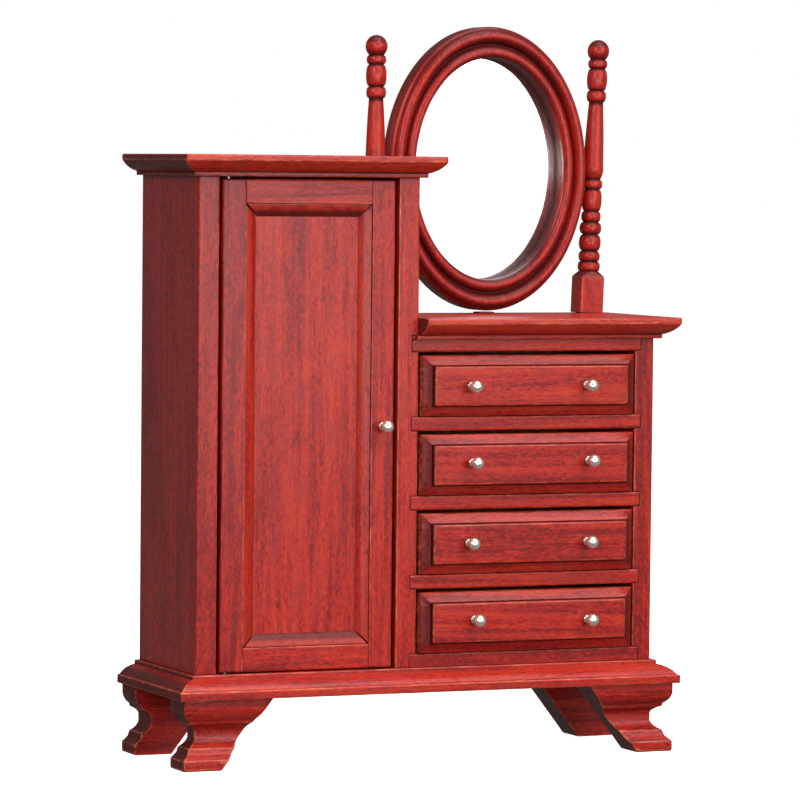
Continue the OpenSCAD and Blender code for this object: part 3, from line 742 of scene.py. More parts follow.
class NodeRecipe:
    """A Geometry Nodes tree, with named inputs, that is run once over a mesh"""

    def __init__(self, name, inputs):
        self.tree = bpy.data.node_groups.new(name, "GeometryNodeTree")
        self.tree.is_modifier = True
        face = self.tree.interface
        face.new_socket("Geometry", in_out="INPUT", socket_type="NodeSocketGeometry")
        for label, (kind, default) in inputs.items():
            socket = face.new_socket(label, in_out="INPUT", socket_type=kind)
            if default is not None:
                socket.default_value = default
        face.new_socket("Geometry", in_out="OUTPUT", socket_type="NodeSocketGeometry")
        self.given = self.tree.nodes.new("NodeGroupInput")

    def input(self, label):
        return self.given.outputs[label]

    def add(self, kind, settings=None, inputs=None, out=0):
        node = self.tree.nodes.new(kind)
        for key, value in (settings or {}).items():
            setattr(node, key, value)
        for key, value in (inputs or {}).items():
            if isinstance(value, bpy.types.NodeSocket):
                self.tree.links.new(value, node.inputs[key])
            else:
                node.inputs[key].default_value = value
        return node.outputs[out]

    def finish(self, geometry):
        """Ends the tree in real geometry with its material"""
        real = self.add("GeometryNodeRealizeInstances", None, {"Geometry": geometry})
        painted = self.add(
            "GeometryNodeSetMaterial", None, {"Geometry": real, "Material": self.input("Material")})
        output = self.tree.nodes.new("NodeGroupOutput")
        self.tree.links.new(painted, output.inputs[0])
        return self

    def run(self, name, mesh, **values):
        """The mesh that the tree makes from the given one, with its inputs set by their identifiers"""
        helper = linked(name + "_helper", mesh)
        modifier = helper.modifiers.new("Recipe", "NODES")
        modifier.node_group = self.tree
        for item in self.tree.interface.items_tree:
            key = item.name.replace(" ", "_")
            if item.in_out == "INPUT" and key in values:
                modifier[item.identifier] = values[key]
        helper.update_tag()
        result = evaluated_mesh(helper)
        bpy.data.objects.remove(helper)
        return result


def profile_line(name, places, radii, grooves):
    """A line of vertices with what the lathe needs on each: its radius and its distance to a groove"""
    mesh = bpy.data.meshes.new(name)
    mesh.from_pydata(places, [(k, k + 1) for k in range(len(places) - 1)], [])
    store(mesh, "turned_radius", np.array(radii, float))
    store(mesh, "joint", np.array(grooves, float))
    return mesh


def turning_recipe():
    """Turns a profile line into a solid of revolution, and sets it out along a row"""
    recipe = NodeRecipe("Turning", {
        "Segments": ("NodeSocketInt", 64),
        "Count": ("NodeSocketInt", 1),
        "Spacing": ("NodeSocketVector", None),
        "Material": ("NodeSocketMaterial", None),
    })
    line = recipe.add("GeometryNodeMeshToCurve", None, {"Mesh": recipe.input("Geometry")})
    radius = recipe.add(
        "GeometryNodeInputNamedAttribute", {"data_type": "FLOAT"}, {"Name": "turned_radius"})
    circle = recipe.add(
        "GeometryNodeCurvePrimitiveCircle", None, {"Resolution": recipe.input("Segments"), "Radius": 1.0})
    solid = recipe.add(
        "GeometryNodeCurveToMesh", None,
        {"Curve": line, "Profile Curve": circle, "Scale": radius, "Fill Caps": True})
    row = recipe.add(
        "GeometryNodeMeshLine", {"mode": "OFFSET"},
        {"Count": recipe.input("Count"), "Offset": recipe.input("Spacing")})
    copies = recipe.add("GeometryNodeInstanceOnPoints", None, {"Points": row, "Instance": solid})
    return recipe.finish(copies)


def oval_recipe():
    """Sweeps a moulding's section round a circle as high as the oval, then draws it in to the oval's width:
    whatever lies inset from the rim at the top lies a share of that inset at the sides"""
    recipe = NodeRecipe("Oval sweep", {
        "Width": ("NodeSocketFloat", 0.04),
        "Height": ("NodeSocketFloat", 0.06),
        "Side share": ("NodeSocketFloat", 1.0),
        "Steps": ("NodeSocketInt", 240),
        "Centre": ("NodeSocketVector", None),
        "Material": ("NodeSocketMaterial", None),
    })

    def maths(operation, first, second):
        return recipe.add("ShaderNodeMath", {"operation": operation}, {0: first, 1: second})

    tall = maths("MULTIPLY", recipe.input("Height"), 0.5)
    wide = maths("MULTIPLY", recipe.input("Width"), 0.5)
    section = recipe.add("GeometryNodeMeshToCurve", None, {"Mesh": recipe.input("Geometry")})
    circle = recipe.add(
        "GeometryNodeCurvePrimitiveCircle", None, {"Resolution": recipe.input("Steps"), "Radius": tall})
    level = recipe.add("GeometryNodeSetCurveNormal", {"mode": "Z_UP"}, {"Curve": circle})
    ring = recipe.add("GeometryNodeCurveToMesh", None, {"Curve": level, "Profile Curve": section})
    place = recipe.add("GeometryNodeInputPosition")
    flat = recipe.add("ShaderNodeVectorMath", {"operation": "MULTIPLY"}, {0: place, 1: (1.0, 1.0, 0.0)})
    reach = recipe.add("ShaderNodeVectorMath", {"operation": "LENGTH"}, {0: flat}, out=1)
    inset = maths("MULTIPLY", maths("SUBTRACT", tall, reach), recipe.input("Side share"))
    split = recipe.tree.nodes.new("ShaderNodeSeparateXYZ")
    recipe.tree.links.new(place, split.inputs[0])
    x = maths("MULTIPLY", maths("SUBTRACT", wide, inset), maths("DIVIDE", split.outputs[0], reach))
    drawn = recipe.add("ShaderNodeCombineXYZ", None, {0: x, 1: split.outputs[1], 2: split.outputs[2]})
    oval = recipe.add("GeometryNodeSetPosition", None, {"Geometry": ring, "Position": drawn})
    upright = recipe.add(
        "GeometryNodeTransform", None,
        {"Geometry": oval, "Rotation": (math.pi / 2, 0.0, 0.0), "Translation": recipe.input("Centre")})
    return recipe.finish(upright)


def clean_solid(mesh):
    """Merges doubled vertices and turns all faces outwards"""
    shape = bmesh.new()
    shape.from_mesh(mesh)
    bmesh.ops.remove_doubles(shape, verts=shape.verts, dist=MERGE)
    bmesh.ops.recalc_face_normals(shape, faces=shape.faces)
    shape.to_mesh(mesh)
    shape.free()
    return mesh


def half_round(low, high, neck, crest, steps=14):
    """Points (radius, height) of a bead between two heights, over its neck radius"""
    middle, half = (low + high) / 2, (high - low) / 2
    turn = [math.pi * k / steps for k in range(steps + 1)]
    return [(neck + (crest - neck) * math.sin(a), middle - half * math.cos(a)) for a in turn]


def swelling(start, end, bulge, steps=12):
    """Points from start to end along a line that bulges to its right"""
    (x0, y0), (x1, y1) = start, end
    length = math.hypot(x1 - x0, y1 - y0)
    out = ((y1 - y0) / length, -(x1 - x0) / length)
    shares = [k / steps for k in range(steps + 1)]
    return [
        (x0 + (x1 - x0) * t + out[0] * bulge * 4 * t * (1 - t),
         y0 + (y1 - y0) * t + out[1] * bulge * 4 * t * (1 - t))
        for t in shares
    ]


# Beads of a mirror post: lower end, upper end, crest radius and neck radius, in millimetres over its foot
LOWER_BEADS = [
    (8.8, 10.7, 2.35, 1.95), (10.9, 12.9, 2.25, 1.8), (13.1, 16.4, 2.3, 1.65), (16.6, 19.0, 2.3, 1.65),
    (19.2, 21.3, 2.05, 1.6), (21.5, 25.9, 2.1, 1.6), (26.1, 28.0, 2.1, 1.6),
]
UPPER_BEADS = [(44.4, 46.7, 2.05, 1.55), (46.9, 51.2, 2.13, 1.6), (51.4, 53.2, 2.02, 1.55)]
BLOCK_TOP = 7.6
SHOULDER = 1.1
NECK = 1.65
CORE = 2.05  # radius of the turning inside the block
FINIAL = (55.05, 2.35, 2.28)


def post_profile():
    """Radius and height along the turned part of a post, and how near each point is to a groove"""
    sunk = BLOCK_TOP - 0.5
    points = [(0.0, sunk), (CORE, sunk), (CORE, BLOCK_TOP + SHOULDER)]
    grooves = [FAR_FROM_EDGE] * len(points)
    centre, half, radius = FINIAL
    start = math.asin(NECK / radius)
    turn = [start + (math.pi - start) * k / 22 for k in range(22)]
    ball = [(radius * math.sin(a), centre - half * math.cos(a)) for a in turn]
    lower = [half_round(low, high, neck, crest) for low, high, crest, neck in LOWER_BEADS]
    upper = [half_round(low, high, neck, crest) for low, high, crest, neck in UPPER_BEADS]
    vase = swelling((NECK, 28.2), (2.1, 31.2), 0.25) + swelling((2.07, 32.4), (1.5, 44.2), 0.06)
    for stretch in [*lower, vase, *upper, ball]:
        last = len(stretch) - 1
        for k, (r, z) in enumerate(stretch):
            points.append((r, z))
            grooves.append(min(k, last - k) * 0.22 if stretch is not ball else k * 0.3)
    points.append((0.0, centre + half))
    grooves.append(FAR_FROM_EDGE)
    return points, [min(g, FAR_FROM_EDGE) for g in grooves]


def knob_profile(reach, head):
    """Radius and distance from the seat along a turned knob with a round head"""
    neck, seat = 0.42 * head, 0.72 * head
    start = math.asin(neck / head)
    turn = [start + (math.pi - start) * k / 24 for k in range(24)]
    ball = [(head * math.sin(a), reach - head * math.cos(a)) for a in turn]
    collar = [(0.0, -0.6 * head), (0.3 * head, -0.6 * head), (0.3 * head, 0.0), (seat * 0.96, 0.0)]
    collar += [(seat, 0.03 * MM), (seat, 0.18 * MM), (seat * 0.9, 0.27 * MM), (neck * 1.15, 0.42 * MM)]
    return collar + [(neck, 0.6 * MM)] + ball + [(0.0, reach + head)]


def knob_heads(node):
    """The middle of each knob's head, from left to right, and the radius of the heads"""
    low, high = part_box(node)
    places = points_of(frame["nodes"][node].data)
    pair = high.x - low.x > 2 * (high.z - low.z)
    left = places[:, 0] < (low.x + high.x) / 2 if pair else np.full(len(places), True)
    groups = [places[left], places[~left]] if pair else [places]
    boxes = [(group.min(axis=0), group.max(axis=0)) for group in groups]
    radius = max(float(most[0] - least[0]) / 2 for least, most in boxes)
    middles = [Vector((least + most) / 2) for least, most in boxes]
    for middle in middles:
        middle.y = low.y + radius
    return middles, radius


# ---- Operators, one for each group of pieces ----


class WardrobeOperator:
    """What all the operators share"""

    bl_options = {"REGISTER", "UNDO"}

    def execute(self, context):
        if not MATERIALS:
            make_materials(context.scene)
        self.build(context.scene)
        return {"FINISHED"}


class WARDROBE_OT_base(WardrobeOperator, bpy.types.Operator):
    """Finish the base board and the four bracket feet"""

    bl_idname = "wardrobe.base"
    bl_label = "Base and feet"

    def build(self, scene):
        case = scene.wardrobe_edges.case
        finish_board("base_board", "x", {"-F": 0.2 * MM, "FU": 0.25 * MM, "DF": 0.2 * MM, "FL": 0.25 * MM})
        for foot in ("front_left", "front_right"):
            radii = {"DF": 0.25 * MM, "FL": 0.3 * MM, "FR": 0.3 * MM}
            finish_board("foot_" + foot, "x", radii, step=FOOT_STEP)
        for foot in ("rear_left", "rear_right"):
            finish_board("foot_" + foot, "x", {"FL": case, "FR": case}, tone=-0.06, step=FOOT_STEP)


class WARDROBE_OT_case(WardrobeOperator, bpy.types.Operator):
    """Finish the side boards, the partition and the backs"""

    bl_idname = "wardrobe.case"
    bl_label = "Case boards"

    def build(self, scene):
        case, corner = scene.wardrobe_edges.case, scene.wardrobe_edges.corner
        outer = {"FL": corner, "FR": 0.25 * MM, "BL": case}
        finish_board("left_side", "z", outer, tone=-0.09, open_grain=0.5)
        finish_board("partition", "z", {"FL": 0.25 * MM, "FR": 0.25 * MM, "BR": case})
        finish_board("right_side", "z", {"FR": case, "FL": 0.2 * MM, "BR": case}, tone=-0.09)
        for back in ("wardrobe_back", "chest_back"):
            finish_board(back, "z")
        finish_board("hanging_rail", "x")


class WARDROBE_OT_tops(WardrobeOperator, bpy.types.Operator):
    """Finish the moulded tops and the fillet boards under them"""

    bl_idname = "wardrobe.tops"
    bl_label = "Tops"

    def build(self, scene):
        round_top = {key: 0.45 * MM for key in ("FU", "LU", "RU")}
        round_top.update({"FL": 0.6 * MM, "FR": 0.6 * MM, "BU": 0.2 * MM, "--": 0.3 * MM})
        for top in ("wardrobe_top", "chest_top"):
            finish_board(top, "x", round_top, tone=0.14)
            finish_board(top + "_fillet", "x", {key: 0.2 * MM for key in ("FU", "DF", "FL", "FR")})


class WARDROBE_OT_chest(WardrobeOperator, bpy.types.Operator):
    """Finish the rails and dividers between the drawers"""

    bl_idname = "wardrobe.chest"
    bl_label = "Rails and dividers"

    def build(self, scene):
        case = scene.wardrobe_edges.case
        finish_board("chest_top_rail", "x", {"DF": case})
        for n in (1, 2, 3):
            finish_board(f"drawer_divider_{n}", "x", {"DF": case, "FU": 0.2 * MM})
        finish_board("chest_bottom_rail", "x", {"FU": 0.2 * MM}, tone=-0.2)


class WARDROBE_OT_door(WardrobeOperator, bpy.types.Operator):
    """Finish the door's frame, panel and mouldings"""

    bl_idname = "wardrobe.door"
    bl_label = "Door"

    def build(self, scene):
        case, corner = scene.wardrobe_edges.case, scene.wardrobe_edges.corner
        # The knob's seat gets a dark ring: partly pooled lacquer, partly painted shadow of the knob.
        seat = knob_heads("door_knob")[0][0]
        seat.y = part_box("door_lock_stile")[0].y
        ends = {"FU": 0.4 * MM, "DF": 0.4 * MM}
        finish_board("door_hinge_stile", "z", {"FL": corner, "LU": case, "DL": case, **ends}, tone=-0.14)
        finish_board("door_lock_stile", "z", {"FR": case, "RU": case, "DR": case, **ends},
                     spots=[(seat, 0.95 * MM)])
        finish_board("door_top_rail", "x", {"FU": 0.4 * MM})
        finish_board("door_bottom_rail", "x", {"DF": 0.4 * MM})
        finish_board("door_panel", "z", tone=-0.02)
        self.mouldings()

    def mouldings(self):
        """Four rounded strips round the panel, cut to mitres that have opened a little"""
        left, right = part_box("door_hinge_stile")[1].x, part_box("door_lock_stile")[0].x
        low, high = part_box("door_bottom_rail")[1].z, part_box("door_top_rail")[0].z
        front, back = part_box("door_panel_mouldings")[0].y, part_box("door_panel_mouldings")[1].y
        width, depth = 2.6 * MM, back - front
        section = swelling((0.0, 0.15 * MM), (width, depth), 0.3 * MM, steps=14)
        section = [(0.0, depth), (0.0, 0.3 * MM), (0.06 * MM, 0.18 * MM), *section[1:]]
        # Each strip: where it starts and ends, the way it faces, and its gaps in the mitres
        strips = {
            "left": ((left, low), (left, high), (1, 0), (0.10, 0.32)),
            "right": ((right, low), (right, high), (-1, 0), (0.28, 0.05)),
            "bottom": ((left, low), (right, low), (0, 1), (0.22, 0.22)),
            "top": ((left, high), (right, high), (0, -1), (0.20, 0.06)),
        }
        shape = bmesh.new()
        for start, end, inwards, gaps in strips.values():
            self.strip(shape, section, front, start, end, inwards, gaps)
        bmesh.ops.recalc_face_normals(shape, faces=shape.faces)
        mesh = mesh_of(shape, "door_panel_mouldings")
        places = points_of(mesh)
        inset, mitre, upright = mitred_border(places, (left, low), (right, high))
        store(mesh, "joint", np.minimum.reduce([inset + 0.02, width / MM - inset + 0.05, mitre + 0.05]))
        store(mesh, "arris", np.full(len(places), FAR_FROM_EDGE))
        mesh = smooth_faces(mesh)
        store_wood_space(mesh, "z", "door_panel_mouldings", 0.03)
        along = np.empty(len(mesh.vertices) * 3)
        mesh.attributes["wood"].data.foreach_get("vector", along)
        along = along.reshape(-1, 3)
        along[~upright] = along[~upright][:, [0, 2, 1]]
        store(mesh, "wood", along)
        place_piece("door_panel_mouldings_wood", mesh, ["door_panel_mouldings"])

    @staticmethod
    def strip(shape, section, front, start, end, inwards, gaps):
        """One mitred strip: its section is set in from the frame's edge, and its ends are cut back"""
        start, end, inwards = Vector(start), Vector(end), Vector(inwards)
        along = (end - start).normalized()
        length = (end - start).length
        rings = []
        steps = 16
        for k in range(steps + 1):
            ring = []
            for inset, depth in section:
                first = inset + gaps[0] * MM
                last = length - inset - gaps[1] * MM
                reach = first + (last - first) * k / steps
                place = start + along * reach + inwards * inset
                ring.append(shape.verts.new((place.x, front + depth, place.y)))
            rings.append(ring)
        skin(shape, rings)


class WARDROBE_OT_drawers(WardrobeOperator, bpy.types.Operator):
    """Finish the four drawers: moulded fronts and plain boxes"""

    bl_idname = "wardrobe.drawers"
    bl_label = "Drawers"

    def build(self, scene):
        for n in DRAWERS:
            self.front(n)
            finish_board(f"drawer_{n}_sides", "y")
            finish_board(f"drawer_{n}_back", "x")
            finish_board(f"drawer_{n}_bottom", "x")

    @staticmethod
    def edge_profile(rise):
        """Distance in from the rim and distance out from the case, over the moulded edge of a front"""
        nose = [(0.0, 0.25), (0.03, 0.42), (0.10, 0.56), (0.22, 0.68)]
        shares = [k / 6 for k in range(1, 7)]
        bevel = [(0.22 + 1.63 * t, 0.68 + 0.92 * t - 0.05 * math.sin(math.pi * t)) for t in shares]
        quirk = [(1.92, 1.50), (2.0, 1.46), (2.06, 1.60)]
        turn = [math.pi / 2 * k / 5 for k in range(6)]
        shoulder = [(2.5 - 0.42 * math.cos(a), rise - 0.42 + 0.42 * math.sin(a)) for a in turn]
        return nose + bevel + quirk + shoulder

    def front(self, n):
        """A front with a mitred moulding round a raised field"""
        node = f"drawer_{n}_front"
        low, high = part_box(node)
        case_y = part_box("right_side")[0].y
        rise = (case_y - low.y) / MM
        profile = self.edge_profile(rise)
        shape = bmesh.new()
        rings = []
        for inset, out in [(0.0, (case_y - high.y) / MM), *profile]:
            left, right = low.x + inset * MM, high.x - inset * MM
            bottom, top = low.z + inset * MM, high.z - inset * MM
            corners = ((left, bottom), (right, bottom), (right, top), (left, top))
            rings.append([shape.verts.new((x, case_y - out * MM, z)) for x, z in corners])
        skin(shape, rings)
        bmesh.ops.recalc_face_normals(shape, faces=shape.faces)
        heads, head = knob_heads(f"drawer_{n}_knobs")
        seats = [Vector((middle.x, low.y, middle.z)) for middle in heads]
        seat_radius = 0.75 * head
        near = [set(), set(), set()]
        near[0].update(seat.x + sign * seat_radius for seat in seats for sign in (-1, 1))
        near[2].update(seat.z + sign * seat_radius for seat in seats for sign in (-1, 1))
        cut_grid(shape, 4 * MM, near)
        mesh = mesh_of(shape, node + "_wood")
        places = points_of(mesh)
        inset, mitre, _ = mitred_border(places, (low.x, low.z), (high.x, high.z))
        mitre = np.where((inset < 2.4) & (places[:, 1] < case_y), mitre + 0.12, FAR_FROM_EDGE)
        # The quirk's dark line is painted shade in its groove; the mitres get dark lines.
        quirk = np.abs(inset - 2.0)
        # Dark ring round each knob seat: partly pooled lacquer, partly painted shadow of the knob.
        to_middles = [np.linalg.norm(places - np.array(seat), axis=1) for seat in seats]
        to_seat = np.min(np.abs(np.array(to_middles) - seat_radius), axis=0) / MM
        joint = np.minimum.reduce([quirk, mitre, to_seat + 0.06, np.full(len(places), FAR_FROM_EDGE)])
        # The field's rounded shoulder and the rim are rubbed, with painted highlight along them.
        arris = np.minimum(np.abs(inset - 2.35) + 0.08, np.abs(inset) + 0.1)
        store(mesh, "joint", joint)
        store(mesh, "arris", np.minimum(arris, FAR_FROM_EDGE))
        mesh = smooth_faces(mesh, planed=True)
        store_wood_space(mesh, "x", node, 0.0)
        place_piece(node + "_wood", mesh, [node])


class WARDROBE_OT_knobs(WardrobeOperator, bpy.types.Operator):
    """Turn the brass knobs of the door and the drawers"""

    bl_idname = "wardrobe.knobs"
    bl_label = "Knobs"

    def build(self, scene):
        recipe = turning_recipe()
        self.row(scene, recipe, "door_knob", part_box("door_lock_stile")[0].y, 1)
        for n in DRAWERS:
            self.row(scene, recipe, f"drawer_{n}_knobs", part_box(f"drawer_{n}_front")[0].y, 2)

    @staticmethod
    def row(scene, recipe, node, seat_y, count):
        """One knob, or a pair, turned on the seats that the frame gives"""
        heads, radius = knob_heads(node)
        reach = seat_y - heads[0].y
        spacing = heads[-1] - heads[0]
        profile = knob_profile(reach, radius)
        places = [Vector((heads[0].x, seat_y - out, heads[0].z)) for _, out in profile]
        # Distance from the seat, which darkens the collar: partly stain, partly painted shade.
        collar = [out / MM for _, out in profile]
        line = profile_line(node, places, [r for r, _ in profile], np.clip(collar, 0, FAR_FROM_EDGE))
        mesh = recipe.run(
            node, line, Segments=scene.wardrobe_metal.segments, Count=count, Spacing=tuple(spacing),
            Material=MATERIALS["knob_brass"])
        mesh = clean_solid(mesh)
        mesh.shade_smooth()
        place_piece(node + "_turned", mesh, [node])


class WARDROBE_OT_posts(WardrobeOperator, bpy.types.Operator):
    """Turn the two mirror posts and cut their square blocks"""

    bl_idname = "wardrobe.posts"
    bl_label = "Mirror posts"

    def build(self, scene):
        recipe = turning_recipe()
        points, grooves = post_profile()
        for side in ("left", "right"):
            node = "mirror_post_" + side
            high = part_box(node)[1]
            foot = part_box("chest_top")[1].z
            places = points_of(frame["nodes"][node].data)
            summit = places[places[:, 2] > high.z - 0.1 * MM].mean(axis=0)
            block = places[np.abs(places[:, 2] - foot) < 0.02 * MM]
            base = Vector(((block[:, 0].min() + block[:, 0].max()) / 2,
                           (block[:, 1].min() + block[:, 1].max()) / 2, foot))
            lean = Matrix.Rotation(math.atan2(summit[0] - base.x, summit[2] - foot), 4, "Y")
            heights = [(0, 0, z * MM) for _, z in points]
            line = profile_line(node, heights, [r * MM for r, _ in points], grooves)
            mesh = recipe.run(
                node, line, Segments=scene.wardrobe_metal.segments, Count=1, Spacing=(0.0, 0.0, 0.0),
                Material=MATERIALS["stained_wood"])
            mesh = clean_solid(mesh)
            store(mesh, "arris", np.full(len(mesh.vertices), FAR_FROM_EDGE))
            self.add_block(mesh)
            mesh.transform(Matrix.Translation(base) @ lean)
            mesh = smooth_faces(mesh)
            store_wood_space(mesh, "z", node, 0.02, open_grain=0.3)
            place_piece(node + "_wood", mesh, [node])

    @staticmethod
    def add_block(mesh):
        """Adds the square block, with its shoulders cut round to meet the turning"""
        # Half its width, the radius of its corners and the height, in millimetres, from the foot up
        steps = [(2.65, 0.4, height) for height in (0.0, 1.2, 4.0, 6.6, BLOCK_TOP - 0.2)]
        steps += [
            (2.6, 0.5, BLOCK_TOP + 0.05), (2.48, 0.9, BLOCK_TOP + 0.35), (2.3, 1.4, BLOCK_TOP + 0.7),
            (2.1, 1.9, BLOCK_TOP + SHOULDER), (1.7, 1.7, BLOCK_TOP + SHOULDER + 0.1),
        ]
        shape = bmesh.new()
        joint, arris = shape.verts.layers.float.new("joint"), shape.verts.layers.float.new("arris")
        rings = []
        for half, radius, height in steps:
            ring = []
            for quarter in range(4):
                for k in range(7):
                    angle = math.pi / 2 * (quarter + k / 6)
                    turn = math.pi / 2 * quarter + math.pi / 4
                    centre = (half - radius) * math.sqrt(2)
                    x = centre * math.cos(turn) + radius * math.cos(angle)
                    y = centre * math.sin(turn) + radius * math.sin(angle)
                    vert = shape.verts.new((x * MM, y * MM, height * MM))
                    # Distance from the foot: a dark joint line where the block sits on the top, with painted shade
                    # just above it.
                    vert[joint] = min(height, FAR_FROM_EDGE)
                    vert[arris] = abs(k - 3) * 0.11 if height < BLOCK_TOP else 0.5
                    ring.append(vert)
            rings.append(ring)
        skin(shape, rings)
        bmesh.ops.recalc_face_normals(shape, faces=shape.faces)
        extra = mesh_of(shape, "block")
        both = bmesh.new()
        both.from_mesh(mesh)
        both.from_mesh(extra)
        both.to_mesh(mesh)
        both.free()


class WARDROBE_OT_mirror(WardrobeOperator, bpy.types.Operator):
    """Sweep the oval frame, and set the glass and the backing in it"""

    bl_idname = "wardrobe.mirror"
    bl_label = "Mirror"

    def build(self, scene):
        low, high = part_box("mirror_frame")
        pivot = Vector(JOINTS["mirror_tilt"]["pos_m"])
        self.frame(scene, low, high, pivot)
        glass_low, glass_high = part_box("mirror_glass")
        self.plate("mirror_glass", glass_low, glass_high, pivot)
        finish_board("mirror_backing", "z", step=6 * MM)
        finish_board("mirror_rest_peg", "z", {"FL": 0.2 * MM, "FR": 0.2 * MM}, tone=-0.1)

    @staticmethod
    def section(thickness):
        """Distance in from the rim, and depth behind the front, round the frame's moulded band"""
        turn = [math.pi * k / 16 for k in range(17)]
        lip = [(0.0, 2.15), (0.05, 1.95), (0.18, 1.78), (0.40, 1.66)]
        outer = [(0.6 + 1.35 * (1 - math.cos(a)), 1.5 * (1 - math.sin(a))) for a in turn]
        floor = [(3.42, 1.8), (3.6, 1.9), (3.8, 1.88)]
        inner = [(4.0 + 1.25 * (1 - math.cos(a)), 0.3 + 1.2 * (1 - math.sin(a))) for a in turn]
        seat = thickness - SEAT_DEPTH
        wall = [(6.5, 2.2), (6.5, 3.6), (6.5, seat - SEAT_EDGE), (6.44, seat), (5.4, seat), (5.4, thickness)]
        back = [(0.4, thickness), (0.1, thickness - 0.1), (0.0, thickness - 0.4)]
        return lip + outer + floor + inner + wall + back

    def frame(self, scene, low, high, pivot):
        thickness = (high.y - low.y) / MM
        section = self.section(thickness)
        count = len(section)
        line = bpy.data.meshes.new("frame_section")
        line.from_pydata(
            [(-inset * MM, depth * MM, 0.0) for inset, depth in section],
            [(k, (k + 1) % count) for k in range(count)], [])
        # Darker lines along the groove between the beads and at the lip's step; painted shade over the inner wall,
        # deepening towards the glass's seat.
        groove = [abs(inset - 3.6) * 0.6 for inset, _ in section]
        lip = [abs(inset - 0.55) + 0.1 for inset, _ in section]
        edge = thickness - SEAT_DEPTH - SEAT_EDGE
        sight = [abs(inset - 6.5) + abs(depth - edge) * 0.35 for inset, depth in section]
        wall = [0.10 if inset > 6.4 and depth > 2.0 else FAR_FROM_EDGE for inset, depth in section]
        store(line, "joint", np.minimum.reduce([groove, lip, sight, wall, np.full(count, FAR_FROM_EDGE)]))
        store(line, "arris", np.full(count, FAR_FROM_EDGE))
        mesh = oval_recipe().run(
            "mirror_frame", line, Width=high.x - low.x, Height=high.z - low.z, Side_share=SIDE_SHARE,
            Steps=240, Centre=(pivot.x, low.y, pivot.z), Material=MATERIALS["stained_wood"])
        mesh = clean_solid(mesh)
        mesh = smooth_faces(mesh)
        store_wood_space(mesh, "z", "mirror_frame", -0.07, open_grain=0.35)
        place_piece("mirror_frame_wood", mesh, ["mirror_frame"])

    @staticmethod
    def plate(node, low, high, pivot):
        """The silvered plate: an oval disc with a ground edge"""
        width, height = high.x - low.x, high.z - low.z
        steps = 180
        shape = bmesh.new()
        joint = shape.verts.layers.float.new("joint")
        rings = []
        ground = 0.1  # how far the edge is ground off, in millimetres
        outline_steps = (
            (ground, high.y), (0.0, high.y - ground * MM), (0.0, low.y + ground * MM), (ground, low.y),
            (GREYED_RIM, low.y))
        for inset, y in outline_steps:
            angles = [2 * math.pi * k / steps for k in range(steps)]
            outline = [((width / 2 - inset * MM) * math.cos(a), (height / 2 - inset * MM) * math.sin(a))
                       for a in angles]
            rings.append([shape.verts.new((pivot.x + x, y, pivot.z + z)) for x, z in outline])
        skin(shape, rings)
        bmesh.ops.recalc_face_normals(shape, faces=shape.faces)
        for vert in rings[-1]:
            vert[joint] = GREYED_RIM
        mesh = mesh_of(shape, node)
        place_piece(node + "_plate", mesh, [node])


class WARDROBE_OT_pins(WardrobeOperator, bpy.types.Operator):
    """Give the hinge and pivot pins of the frame their drawn steel"""

    bl_idname = "wardrobe.pins"
    bl_label = "Pins"

    def build(self, scene):
        for node in ("hinge_pins", "mirror_pivot_pins"):
            pins = frame["nodes"][node]
            pins.data.materials.clear()
            pins.data.materials.append(MATERIALS["pin_steel"])


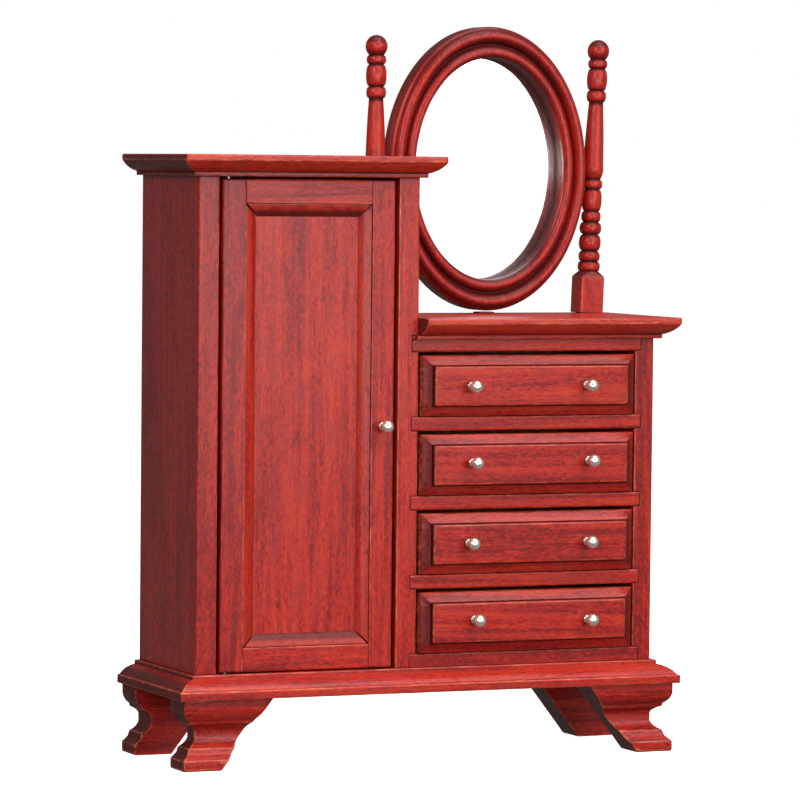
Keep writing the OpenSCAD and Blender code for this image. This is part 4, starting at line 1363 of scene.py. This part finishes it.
class WARDROBE_OT_stage(bpy.types.Operator):
    """Make the floor, the lights and the camera"""

    bl_idname = "wardrobe.stage"
    bl_label = "Stage"
    bl_options = {"REGISTER", "UNDO"}

    def execute(self, context):
        stage = context.scene.wardrobe_stage
        self.floor()
        self.light("key_light", (0.30, -0.62, 0.36), (0.50, 0.45), stage.key)
        self.light("side_light", (-0.75, -0.55, 0.50), (0.5, 0.5), stage.side)
        self.light("top_light", (0.14, -0.34, 0.98), (0.80, 0.95), stage.top)
        self.light("low_light", (-0.12, -0.80, 0.09), (0.9, 0.14), stage.low)
        self.light("mirror_card", (0.42, -0.93, 0.125), (0.16, 0.24), 1.3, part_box("mirror_glass"))
        self.room(context.scene, stage.fill, stage.gloss)
        self.camera(context.scene, stage)
        context.scene.view_settings.view_transform = "Standard"
        context.scene.view_settings.look = "None"
        return {"FINISHED"}

    @staticmethod
    def floor():
        shape = bmesh.new()
        bmesh.ops.create_circle(shape, cap_ends=True, radius=6.0, segments=64)
        mesh = mesh_of(shape, "studio_floor")
        mesh.materials.append(pale_floor())
        floor = linked("studio_floor", mesh)
        floor.location.z = CAD_BOX[0].z
        floor.visible_diffuse = floor.visible_glossy = False
        floor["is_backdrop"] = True

    @staticmethod
    def light(name, place, size, brightness, target=None):
        """A rectangular soft light of an even brightness that faces the middle of a box"""
        data = bpy.data.lights.new(name, "AREA")
        data.shape, data.size, data.size_y = "RECTANGLE", *size
        data.energy = brightness * math.pi * size[0] * size[1]
        lamp = linked(name, data)
        low, high = target or CAD_BOX
        middle = (Vector(low) + Vector(high)) / 2
        lamp.location = place
        lamp.rotation_euler = (middle - Vector(place)).to_track_quat("-Z", "Y").to_euler()

    @staticmethod
    def room(scene, fill, gloss):
        """White all round for the eye, and an even, weaker light for the piece and its reflections"""
        world = bpy.data.worlds.new("studio")
        world.use_nodes = True
        tree = world.node_tree
        tree.nodes.clear()
        output = tree.nodes.new("ShaderNodeOutputWorld")
        seen, lit = tree.nodes.new("ShaderNodeBackground"), tree.nodes.new("ShaderNodeBackground")
        seen.inputs["Strength"].default_value = 1.0
        for background in (seen, lit):
            background.inputs["Color"].default_value = (1.0, 1.0, 1.0, 1.0)
        path, mix = tree.nodes.new("ShaderNodeLightPath"), tree.nodes.new("ShaderNodeMixShader")
        shine = tree.nodes.new("ShaderNodeMath")
        shine.operation = "MULTIPLY_ADD"
        shine.inputs[1].default_value, shine.inputs[2].default_value = gloss, fill
        tree.links.new(path.outputs["Is Glossy Ray"], shine.inputs[0])
        tree.links.new(shine.outputs[0], lit.inputs["Strength"])
        tree.links.new(path.outputs["Is Camera Ray"], mix.inputs[0])
        tree.links.new(lit.outputs[0], mix.inputs[1])
        tree.links.new(seen.outputs[0], mix.inputs[2])
        tree.links.new(mix.outputs[0], output.inputs["Surface"])
        scene.world = world

    @staticmethod
    def camera(scene, stage):
        data = bpy.data.cameras.new("camera")
        data.sensor_width, data.lens = 36.0, stage.lens
        data.clip_start, data.clip_end = 0.05, 50.0
        turn = (Matrix.Rotation(stage.azimuth, 4, "Z") @ Matrix.Rotation(-stage.elevation, 4, "X")
                @ Matrix.Rotation(stage.roll, 4, "Y"))
        ahead = turn @ Vector((0, 1, 0))
        camera = linked("camera", data)
        camera.matrix_world = (Matrix.Translation(Vector(stage.aim) - ahead * stage.distance)
                               @ turn @ Matrix.Rotation(math.pi / 2, 4, "X"))
        scene.camera = camera


class WARDROBE_PT_panel(bpy.types.Panel):
    """Buttons and settings of the wardrobe's looks"""

    bl_idname = "WARDROBE_PT_panel"
    bl_label = "Wardrobe"
    bl_space_type = "VIEW_3D"
    bl_region_type = "UI"
    bl_category = "Wardrobe"

    def draw(self, context):
        for operator in OPERATORS:
            self.layout.operator(operator.bl_idname)
        for name in GROUPS:
            box = self.layout.box()
            group = getattr(context.scene, name)
            for key in group.bl_rna.properties.keys():
                if key not in ("rna_type", "name"):
                    box.prop(group, key)


GROUPS = {
    "wardrobe_wood": WardrobeWood,
    "wardrobe_edges": WardrobeEdges,
    "wardrobe_metal": WardrobeMetal,
    "wardrobe_stage": WardrobeStage,
}
OPERATORS = (
    WARDROBE_OT_base, WARDROBE_OT_case, WARDROBE_OT_tops, WARDROBE_OT_chest, WARDROBE_OT_door,
    WARDROBE_OT_drawers, WARDROBE_OT_knobs, WARDROBE_OT_posts, WARDROBE_OT_mirror, WARDROBE_OT_pins,
    WARDROBE_OT_stage,
)


def register():
    for group in GROUPS.values():
        bpy.utils.register_class(group)
    for cls in (*OPERATORS, WARDROBE_PT_panel):
        bpy.utils.register_class(cls)
    for name, group in GROUPS.items():
        setattr(bpy.types.Scene, name, PointerProperty(type=group))


def unregister():
    for name in GROUPS:
        delattr(bpy.types.Scene, name)
    for cls in reversed((*GROUPS.values(), *OPERATORS, WARDROBE_PT_panel)):
        bpy.utils.unregister_class(cls)


def main():
    register()
    bpy.ops.wardrobe.base()
    bpy.ops.wardrobe.case()
    bpy.ops.wardrobe.tops()
    bpy.ops.wardrobe.chest()
    bpy.ops.wardrobe.door()
    bpy.ops.wardrobe.drawers()
    bpy.ops.wardrobe.knobs()
    bpy.ops.wardrobe.posts()
    bpy.ops.wardrobe.mirror()
    bpy.ops.wardrobe.pins()
    bpy.ops.wardrobe.stage()


if __name__ == "__main__":
    main()
